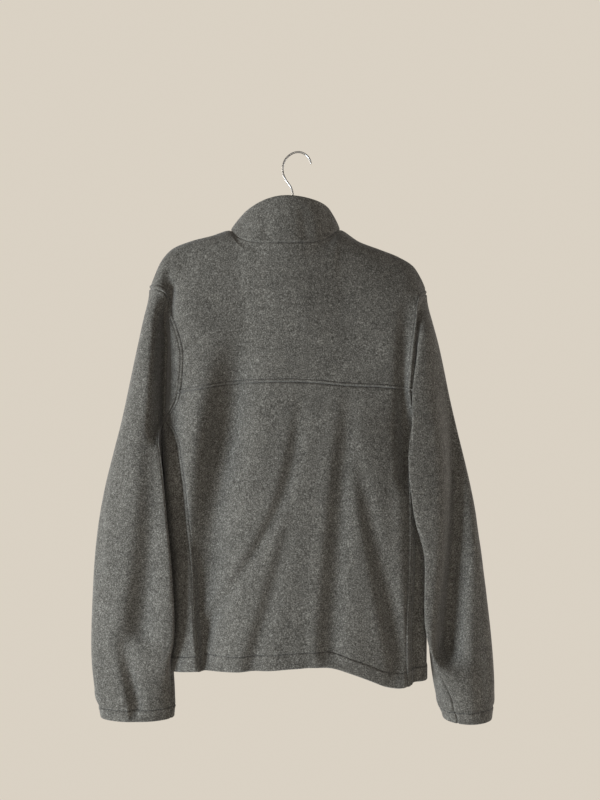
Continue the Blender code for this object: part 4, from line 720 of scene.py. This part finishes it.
class Cloth:
    """One cut piece: its fine outer surface before the small relief, with normals, thickness and distances."""

    def __init__(self, name, grid, normals, outward, thickness, finish):
        self.name, self.outward, self.finish = name, outward, finish
        self.closed = "left" not in finish
        row_at = run_length(grid, 0).mean(axis=1)
        rows = edge_stations(row_at[-1], finish["top"], finish["bottom"])
        if self.closed:
            count = grid.shape[1]
            carried_on = np.arange(-WRAP, count + WRAP + 1)
            grid, normals = (np.take(values, carried_on, axis=1, mode="wrap") for values in (grid, normals))
        column_at = run_length(grid, 1).mean(axis=0)
        if self.closed:
            column_at -= column_at[WRAP]
            seam_at = column_at[WRAP + count // 2]
            columns = fine_stations(column_at[WRAP + count], [seam_at])[:-1]
        else:
            columns = edge_stations(column_at[-1], finish["left"], finish["right"])
        self.points = resampled(grid, row_at, column_at, rows, columns)
        self.normals = unit(resampled(normals, row_at, column_at, rows, columns))
        self.thickness = np.interp(rows, row_at, thickness)[:, None]
        down, across = run_length(self.points, 0), run_length(self.points, 1)
        self.distance = {"top": down, "bottom": down[-1] - down, "left": across,
                         "right": across[:, -1:] - across}
        if self.closed:
            at_seam = np.searchsorted(columns, seam_at)
            self.distance["seam"] = np.abs(across - across[:, at_seam:at_seam + 1])

    def fold(self, table, towards, sharp, margins):
        """Lays the creases of a table into the side that faces back (+1) or front (-1), free of its margins."""
        sharper = [(*line, np.array(widths) * sharp, depths, skew) for *line, widths, depths, skew in table]
        depth = crease(sharper, self.points[..., 0], self.points[..., 2])
        for edge, width in zip(("top", "left", "right"), margins):
            if width:
                depth *= smooth(self.distance[edge] / width)
        if self.closed or self.name == "collar":
            depth *= smooth(self.normals[..., 1] * towards * FACING)
        self.points[..., 1] += towards * depth

    def relief(self):
        """Small relief of the outer surface along the edges and seams, and how far folded edges are rounded."""
        depth = np.zeros(self.points.shape[:2])
        rounded = np.zeros(self.points.shape[:2])
        for edge, (kind, inset) in self.finish.items():
            distance = self.distance[edge]
            if kind in ("seam", "felled"):
                depth -= DITCH_DEPTH * bell(distance, DITCH_WIDTH)
            else:
                rounded = np.maximum(rounded, rounding(distance, self.thickness * EDGE_ROUND))
            if inset:
                raised = smooth(distance / WELT_RISE) * smooth((inset - distance) / WELT_RISE + 0.5)
                puckers = waver(self.points, PUCKER_SEED, PUCKER_PITCH, PUCKER)
                depth += WELT_HEIGHT * raised + bell(distance - inset, PUCKER_REACH) * puckers
                depth -= STITCH_DEPTH * bell(distance - inset, STITCH_WIDTH)
        if self.closed:
            depth -= DITCH_DEPTH * bell(self.distance["seam"], DITCH_WIDTH)
            gathers = waver(self.points * GATHER_STRETCH, GATHER_SEED, GATHER_PITCH, GATHER)
            depth += bell(self.distance["bottom"] - CUFF_HEM, GATHER_REACH) * gathers
        return depth, rounded

    def build(self, material):
        depth, rounded = self.relief()
        self.outer = self.points + self.normals * (depth - rounded)[..., None]
        inner = self.points - self.normals * (self.thickness - rounded)[..., None]
        return add_shell(self.name + "_cloth", self.outer, inner, self.closed, self.outward, material)

    def line(self, edge, inset):
        """Points and normals of the finished surface at a distance from one edge."""
        surface, distance = np.concatenate([self.outer, self.normals], axis=-1), self.distance[edge]
        if edge in ("top", "bottom"):
            surface, distance = np.moveaxis(surface, 1, 0), distance.T
        line = []
        for values, along in zip(surface, distance):
            order = np.argsort(along)
            line.append([np.interp(inset, along[order], value) for value in values[order].T])
        if self.closed:
            line.append(line[0])
        line = np.array(line)
        return line[:, :3], unit(line[:, 3:])


# ---------- meshes

def add_object(name, data):
    added = bpy.data.objects.new(name, data)
    bpy.context.scene.collection.objects.link(added)
    return added


def add_mesh(name, vertices, faces, material, sharp_from=None):
    """Mesh object from points in millimetres."""
    mesh = bpy.data.meshes.new(name)
    mesh.from_pydata((vertices * MM).tolist(), [], faces)
    mesh.materials.append(material)
    bm = bmesh.new()
    bm.from_mesh(mesh)
    bmesh.ops.recalc_face_normals(bm, faces=bm.faces)
    bm.to_mesh(mesh)
    bm.free()
    mesh.shade_smooth()
    if sharp_from:
        mesh.set_sharp_from_angle(angle=math.radians(sharp_from))
    return add_object(name, mesh)


def add_shell(name, outer, inner, closed, outward, material):
    """Closed shell between an outer and an inner grid of points."""
    rows, columns = outer.shape[:2]
    index = np.arange(rows * columns).reshape(rows, columns)
    if closed:
        index = np.concatenate([index, index[:, :1]], axis=1)
    under = index + rows * columns
    quads = [(index[:-1, :-1], index[:-1, 1:], index[1:, 1:], index[1:, :-1]),
             (under[:-1, :-1], under[1:, :-1], under[1:, 1:], under[:-1, 1:]),
             (index[0, 1:], index[0, :-1], under[0, :-1], under[0, 1:]),
             (index[-1, :-1], index[-1, 1:], under[-1, 1:], under[-1, :-1])]
    if not closed:
        quads.append((index[:-1, 0], index[1:, 0], under[1:, 0], under[:-1, 0]))
        quads.append((index[1:, -1], index[:-1, -1], under[:-1, -1], under[1:, -1]))
    faces = np.concatenate([np.stack(corners, axis=-1).reshape(-1, 4) for corners in quads])
    vertices = np.concatenate([outer.reshape(-1, 3), inner.reshape(-1, 3)])
    return add_mesh(name, vertices, faces[:, ::outward].tolist(), material, CLOTH_EDGE)


def bodies(rings):
    """Vertices and faces of closed bodies, each given by its rings of points (body, ring, point, xyz)."""
    count, levels, sides, _ = rings.shape
    faces = [tuple(range(sides))[::-1], tuple(range((levels - 1) * sides, levels * sides))]
    for start in range(0, (levels - 1) * sides, sides):
        for side in range(sides):
            a, b = start + side, start + (side + 1) % sides
            faces.append((a, b, b + sides, a + sides))
    each = levels * sides
    return rings.reshape(-1, 3), [tuple(i + k * each for i in face) for k in range(count) for face in faces]


def joined(parts):
    """Several vertex and face lists as one."""
    vertices, faces, start = [], [], 0
    for points, polygons in parts:
        vertices.append(points)
        faces += [tuple(i + start for i in face) for face in polygons]
        start += len(points)
    return np.concatenate(vertices), faces


def circles(sides, across, up):
    """Points of a unit circle at every place of a line, between two directions square to it."""
    turn = (np.arange(sides) * 2 * math.pi / sides)[:, None]
    return np.cos(turn) * across[:, None] + np.sin(turn) * up[:, None]


# ---------- stitches, zip and hook

def stitches(points, normals):
    """A row of separate stitches along a line."""
    at = run_length(points)
    places = np.arange(LINE_ENDS, at[-1] - LINE_ENDS, STITCH_PITCH)

    def read(values, shift=0.0):
        return np.stack([np.interp(places + shift, at, value) for value in values.T], axis=-1)

    normal = unit(read(normals))
    ahead = unit(read(points, STITCH_PITCH / 4) - read(points, -STITCH_PITCH / 4))
    middle = read(points) + THREAD_RISE * normal
    rim = THREAD_RADIUS * circles(THREAD_SIDES, np.cross(ahead, normal), normal)
    rings = [(middle + along * STITCH_HALF * ahead)[:, None] + share * rim for along, share in THREAD_PROFILE]
    return bodies(np.stack(rings, axis=1))


def add_stitching(piece, material):
    lines = [piece.line(edge, inset) for edge, (_, inset) in piece.finish.items() if inset]
    return add_mesh(piece.name + "_stitching", *joined([stitches(*line) for line in lines]), material)


def zip_line(front_left, collar):
    """Middle line of the zip on the cloth's outer face, from the hem to the slider."""
    foot, top = collar[0, 0], collar[-1, 0]
    points = np.concatenate([front_left[::-1, -1], foot + (top - foot) * np.array(ZIP_COLLAR_SHARES)[:, None]])
    return Curve(points, at=run_length(points))


def zip_frame(line, places):
    """Points of the zip's middle line with the directions up, to the wearer's left and outwards."""
    up = unit(line(places + FRAME_STEP) - line(places - FRAME_STEP))
    out = unit(np.cross(up, (1.0, 0.0, 0.0)))
    out *= -np.sign(out[:, 1:2])
    left = np.cross(out, up)
    return line(places), up, left * np.sign(left[:, :1]), out


def blocks(centre, up, left, out, reach, half, depths, chamfer):
    """One chamfered block at each place: its reach to both sides, half height and depths below the cloth."""
    (near, far), (front, shoulder, base) = reach, depths
    rings = []
    for depth, shrink in ((base, 0.0), (shoulder, 0.0), (front, chamfer)):
        corners = [(near + shrink, -1), (far - shrink, -1), (far - shrink, 1), (near + shrink, 1)]
        rings.append(np.stack([centre + left * side + up * height * (half - shrink) - out * depth
                               for side, height in corners], axis=1))
    return bodies(np.stack(rings, axis=1))


def add_teeth(line, length, metal):
    parts = []
    for side, reach in enumerate([(-TOOTH_REACH, TOOTH_OVER), (-TOOTH_OVER, TOOTH_REACH)]):
        places = np.arange(BOX_HEIGHT + TOOTH_PITCH * (1 + side), length - TEETH_END, 2 * TOOTH_PITCH)
        parts.append(blocks(*zip_frame(line, places), reach, TOOTH_HALF, TOOTH_DEPTHS, TOOTH_CHAMFER))
    box_middle = zip_frame(line, np.array([BOX_HEIGHT / 2]))
    parts.append(blocks(*box_middle, (-BOX_REACH, BOX_REACH), BOX_HEIGHT / 2, BOX_DEPTHS, BOX_CHAMFER))
    return add_mesh("zip_teeth", *joined(parts), metal, METAL_EDGE)


def add_tapes(line, length, woven):
    """Two woven tapes behind the edges of the fronts."""
    foot, top = TAPE_ENDS[0], length - TAPE_ENDS[1]
    places = np.append(np.arange(foot, top, TAPE_STEP), top)
    centre, _, left, out = zip_frame(line, places)
    in_collar = smooth((places - (length - COLLAR_ZIP)) / TAPE_NARROWS_IN)
    wing = TAPE_HALF_WIDTH + (TAPE_HALF_NARROW - TAPE_HALF_WIDTH) * in_collar
    face = np.interp(places, [0, HEM_HEIGHT, HEM_HEIGHT + HEM_STEP], [HEM_CLOTH, HEM_CLOTH, CLOTH]) + SEAM_GAP
    tapes = []
    for name, side in (("zip_tape_left", 1), ("zip_tape_right", -1)):
        widths = side * (TAPE_SLIT + (wing[:, None] - TAPE_SLIT) * np.linspace(0, 1, TAPE_COLUMNS))
        outer = centre[:, None] + left[:, None] * widths[..., None] - out[:, None] * face[:, None, None]
        inner = outer - out[:, None] * TAPE_THICKNESS
        tapes.append(add_shell(name, outer, inner, False, side, woven))
    return tapes


def add_hook(steel):
    """The hanger's wire hook, round all the way to its tip."""
    tip = WIRE_RADIUS * TIP_SHARES / run_length(np.array(HOOK))[-1]
    places = np.concatenate([tip, np.linspace(2 * tip[-1], 1, HOOK_SECTIONS)])
    radii = WIRE_RADIUS * np.append(np.sqrt(1 - (1 - TIP_SHARES) ** 2), np.ones(HOOK_SECTIONS))
    centre = Curve([(x, 0.0, z) for x, z in HOOK])(places)
    ahead = unit(np.gradient(centre, axis=0))
    side = np.broadcast_to([0.0, 1.0, 0.0], ahead.shape)
    rings = centre[:, None] + circles(HOOK_SIDES, side, np.cross(ahead, side)) * radii[:, None, None]
    return add_mesh("hanger_wire", *bodies(rings[None]), steel, WIRE_EDGE)


# ---------- materials

def feed(tree, node, inputs):
    """Sets a node's inputs to values, or links them where another node's output is given."""
    for name, value in inputs.items():
        if isinstance(value, bpy.types.NodeSocket):
            tree.links.new(value, node.inputs[name])
        else:
            node.inputs[name].default_value = value


def add_node(tree, kind, inputs, **settings):
    node = tree.nodes.new(kind)
    for name, value in settings.items():
        setattr(node, name, value)
    feed(tree, node, inputs)
    return node


def grey(value):
    return (value, value, value)


def shade(colour, factor):
    return tuple(factor * channel for channel in colour)


class Finish:
    """A new material: its shader's values, and the textures that vary them over the surface."""

    def __init__(self, name, values):
        self.material = bpy.data.materials.new(name)
        self.material.use_nodes = True
        self.tree = self.material.node_tree
        self.set(values)

    def set(self, values):
        feed(self.tree, self.tree.nodes["Principled BSDF"], values)

    def add(self, kind, inputs, **settings):
        return add_node(self.tree, kind, inputs, **settings)

    def place(self, stretch=None):
        place = self.add("ShaderNodeTexCoord", {}).outputs["Object"]
        if stretch:
            place = self.add("ShaderNodeMapping", {"Vector": place, "Scale": stretch}).outputs["Vector"]
        return place

    def noise(self, place, scale, detail, roughness=0.5):
        inputs = {"Vector": place, "Scale": scale, "Detail": detail, "Roughness": roughness}
        return self.add("ShaderNodeTexNoise", inputs).outputs["Fac"]

    def ramp(self, value, stops):
        node = self.add("ShaderNodeValToRGB", {"Fac": value})
        elements = node.color_ramp.elements
        for _ in stops[2:]:
            elements.new(0.5)
        for element, (position, colour) in zip(elements, stops):
            element.position = position
            element.color = (*colour, 1)
        return node.outputs["Color"]

    def multiplied(self, colour, factor, amount=1.0):
        inputs = {"Factor": amount, "A": colour, "B": factor}
        return self.add("ShaderNodeMix", inputs, data_type="RGBA", blend_type="MULTIPLY").outputs["Result"]

    def bump(self, height, strength, distance):
        bump = self.add("ShaderNodeBump", {"Height": height, "Strength": strength, "Distance": distance})
        self.set({"Normal": bump.outputs["Normal"]})


def fleece_material():
    """Melange fleece: fine light and dark fibres, soft mottling, a nap that brightens at grazing angles."""
    fleece = Finish("grey_fleece", {"Roughness": 0.95, "Specular IOR Level": 0.15, "Sheen Weight": 0.35,
                                    "Sheen Roughness": 0.45, "Sheen Tint": (0.80, 0.80, 0.82, 1)})
    place = fleece.place()
    colour = fleece.ramp(fleece.noise(place, FIBRE_SCALE, detail=3.0, roughness=0.7), FIBRES)
    for scale, dark, light in MOTTLES:
        patches = fleece.noise(place, scale, detail=2.0)
        mottle = fleece.ramp(patches, [(0.30, grey(dark)), (0.70, grey(light))])
        colour = fleece.multiplied(colour, mottle)
    fleece.set({"Base Color": colour})
    nap = fleece.noise(place, NAP_SCALE, detail=4.0, roughness=0.65)
    fleece.bump(nap, strength=0.55, distance=0.0012)
    return fleece.material


def wood_material():
    """Pale varnished beech: long grain along the hanger, with short dark flecks."""
    wood = Finish("wood", {"Roughness": 0.42, "Coat Weight": 0.25, "Coat Roughness": 0.25})
    grain = wood.noise(wood.place(BEECH_GRAIN), 1.0, detail=5.0, roughness=0.6)
    fleck = wood.noise(wood.place(BEECH_FLECKS), 1.0, detail=2.0)
    flecks = wood.ramp(fleck, [(at, grey(share)) for at, share in FLECKS])
    wood.set({"Base Color": wood.multiplied(wood.ramp(grain, BEECH), flecks, amount=0.7)})
    wood.bump(grain, strength=0.25, distance=0.0004)
    return wood.material


def metal_material(name):
    """Plated metal: fine brushed wear that varies the colour and the gloss."""
    colour, roughness, scale, bump = METALS[name]
    metal = Finish(name, {"Metallic": 1.0})
    wear = metal.noise(metal.place(), scale, detail=6.0, roughness=0.65)
    metal.set({"Base Color": metal.ramp(wear, [(0.32, shade(colour, 0.72)), (0.62, colour)]),
               "Roughness": metal.ramp(wear, [(0.35, grey(roughness * 1.5)), (0.70, grey(roughness * 0.8))])})
    metal.bump(wear, strength=bump, distance=0.0001)
    return metal.material


def woven_material(name):
    """Polyester yarn: fine ribs with a slight sheen."""
    colour, scale = YARNS[name]
    woven = Finish(name, {"Roughness": 0.7, "Sheen Weight": 0.3})
    inputs = {"Vector": woven.place(), "Scale": scale, "Distortion": 1.2, "Detail": 1.0}
    ribs = woven.add("ShaderNodeTexWave", inputs, bands_direction="Z").outputs["Fac"]
    woven.set({"Base Color": woven.ramp(ribs, [(0.2, shade(colour, 0.6)), (0.8, colour)])})
    woven.bump(ribs, strength=0.4, distance=0.0003)
    return woven.material


def floor_material():
    """Pale matt floor, lifted to the tone of the surroundings."""
    return Finish("floor", {"Base Color": FLOOR_COLOUR, "Roughness": 0.9, "Emission Color": BACKDROP,
                            "Emission Strength": 0.5}).material


# ---------- camera and light

def add_camera():
    data = bpy.data.cameras.new("camera")
    data.sensor_fit = "VERTICAL"
    data.sensor_height = SENSOR
    data.lens = CAMERA_LENS
    camera = add_object("camera", data)
    camera.location = CAMERA_PLACE
    camera.rotation_euler = (math.pi / 2, 0, math.pi)
    bpy.context.scene.camera = camera


def add_area(name, place, size, power, colour):
    data = bpy.data.lights.new(name, "AREA")
    data.shape = "RECTANGLE"
    data.size, data.size_y = size
    data.energy = power
    data.color = colour
    light = add_object(name, data)
    light.location = place
    away = np.array(place) - LIT
    light.rotation_euler = (math.atan2(math.hypot(away[0], away[1]), away[2]), 0, math.atan2(away[0], -away[1]))


def add_world():
    """Pale surroundings as the camera sees them, and a dimmer, slightly warm fill for the light."""
    world = bpy.data.worlds.new("studio")
    world.use_nodes = True
    tree = world.node_tree
    seen = tree.nodes["Background"]
    feed(tree, seen, {"Color": BACKDROP})
    fill = add_node(tree, "ShaderNodeBackground", {"Color": FILL, "Strength": FILL_STRENGTH})
    path = add_node(tree, "ShaderNodeLightPath", {})
    mix = add_node(tree, "ShaderNodeMixShader", {"Fac": path.outputs["Is Camera Ray"],
                                                 1: fill.outputs["Background"],
                                                 2: seen.outputs["Background"]})
    feed(tree, tree.nodes["World Output"], {"Surface": mix.outputs["Shader"]})
    bpy.context.scene.world = world


def add_stage():
    add_world()
    for light in LIGHTS:
        add_area(*light)
    bm = bmesh.new()
    bmesh.ops.create_circle(bm, cap_ends=True, segments=FLOOR_SEGMENTS, radius=FLOOR_RADIUS)
    mesh = bpy.data.meshes.new("floor")
    bm.to_mesh(mesh)
    bm.free()
    mesh.materials.append(floor_material())
    floor = add_object("floor", mesh)
    floor.location.z = -FLOOR_DROP
    bpy.context.scene.view_settings.view_transform = "Standard"


# ---------- the whole jacket

def cloth_pieces():
    """Every cut piece with its creases, and the two grids that the zip is laid on."""
    yoke, body = back_grids()
    front_left, front_right = front_grid(1), front_grid(-1)
    collar = collar_grid()
    yoke_rows = len(UPPER_ROWS) - 1
    armpit = yoke_rows + ARMPIT_ROW
    side_left = side_grid(body[ARMPIT_ROW:, 0], front_left[armpit:, 0], SIDE_LEFT)
    side_right = side_grid(body[ARMPIT_ROW:, -1], front_right[armpit:, 0], SIDE_RIGHT)
    back = np.concatenate([yoke, body[1:]])
    armholes = [line[:armpit + 1] for line in (back[:, 0], front_left[:, 0], back[:, -1], front_right[:, 0])]
    sleeve_left = sleeve_grid(*armholes[:2], side_left[0], SLEEVE_LEFT, CREASE_LEFT_BACK)
    sleeve_right = sleeve_grid(*armholes[2:], side_right[0], SLEEVE_RIGHT, CREASE_RIGHT_BACK)
    # grid, outward side, last row of single cloth, thickness below it, edges at the zip as for slotted()
    first, last = (0, 1), (-1, -2)
    panels = {"back_yoke": (yoke, -1, len(yoke), CLOTH, ()),
              "back_body": (body, -1, HEM_ROW, HEM_CLOTH, ()),
              "side_left": (side_left, 1, HEM_ROW - ARMPIT_ROW, HEM_CLOTH, ()),
              "side_right": (side_right, -1, HEM_ROW - ARMPIT_ROW, HEM_CLOTH, ()),
              "front_left": (front_left, 1, yoke_rows + HEM_ROW, HEM_CLOTH, (last,)),
              "front_right": (front_right, -1, yoke_rows + HEM_ROW, HEM_CLOTH, (last,)),
              "collar": (collar, 1, 0, COLLAR_CLOTH, (first, last)),
              "sleeve_left": (sleeve_left, -1, CUFF_ROW, HEM_CLOTH, ()),
              "sleeve_right": (sleeve_right, 1, CUFF_ROW, HEM_CLOTH, ())}
    own_normals = {}
    shared = {}
    for name, (grid, outward, *_) in panels.items():
        own_normals[name] = panel_normals(grid, outward, name.startswith("sleeve"))
        for point, normal in zip(grid.reshape(-1, 3), own_normals[name].reshape(-1, 3)):
            key = tuple(np.round(point, 2))
            shared[key] = shared.get(key, 0) + normal
    pieces = {}
    for name, (grid, outward, last_single, doubled, zip_edges) in panels.items():
        normals = unit(np.array([[shared[tuple(np.round(point, 2))] for point in row] for row in grid]))
        outer = slotted(grid, own_normals[name], zip_edges)
        thickness = np.where(np.arange(len(grid)) > last_single, doubled, CLOTH)
        finish = FINISHES.get(name) or FINISHES[name.split("_")[0]]
        pieces[name] = Cloth(name, outer, normals, outward, thickness, finish)
        for fold in FOLDS[name]:
            pieces[name].fold(*fold)
    return pieces, (front_left, collar)


def settle(piece, slot, *nodes):
    """Hides the solids that a new piece stands in for, and lets the piece ride on the jacket. The slot is not
    used.
    """
    if nodes:
        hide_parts(*nodes)
    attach(piece, BODY)


def dress_cloth():
    fleece, yarn = fleece_material(), woven_material("thread")
    cloth, zip_grids = cloth_pieces()
    for node, piece in cloth.items():
        built = piece.build(fleece)
        settle(built, "grey_fleece", node)
        stitching = add_stitching(piece, yarn)
        settle(stitching, "zip_tape")
    return zip_grids


def dress_zip(front_left, collar, metal):
    line = zip_line(front_left, collar)
    length = line.at[-1]
    settle(add_teeth(line, length, metal), "zip_metal")
    for tape in add_tapes(line, length, woven_material("zip_tape")):
        settle(tape, "zip_tape", "zip")


def main():
    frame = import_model()
    add_camera()
    add_stage()
    zip_grids = dress_cloth()
    metal = metal_material("zip_metal")
    dress_zip(*zip_grids, metal)
    settle(add_hook(metal_material("steel_wire")), "steel_wire", "hanger_hook")
    for node, material in (("slider", metal), ("pull_tab", metal), ("hanger_body", wood_material())):
        frame["nodes"][node].material_slots[0].material = material


main()
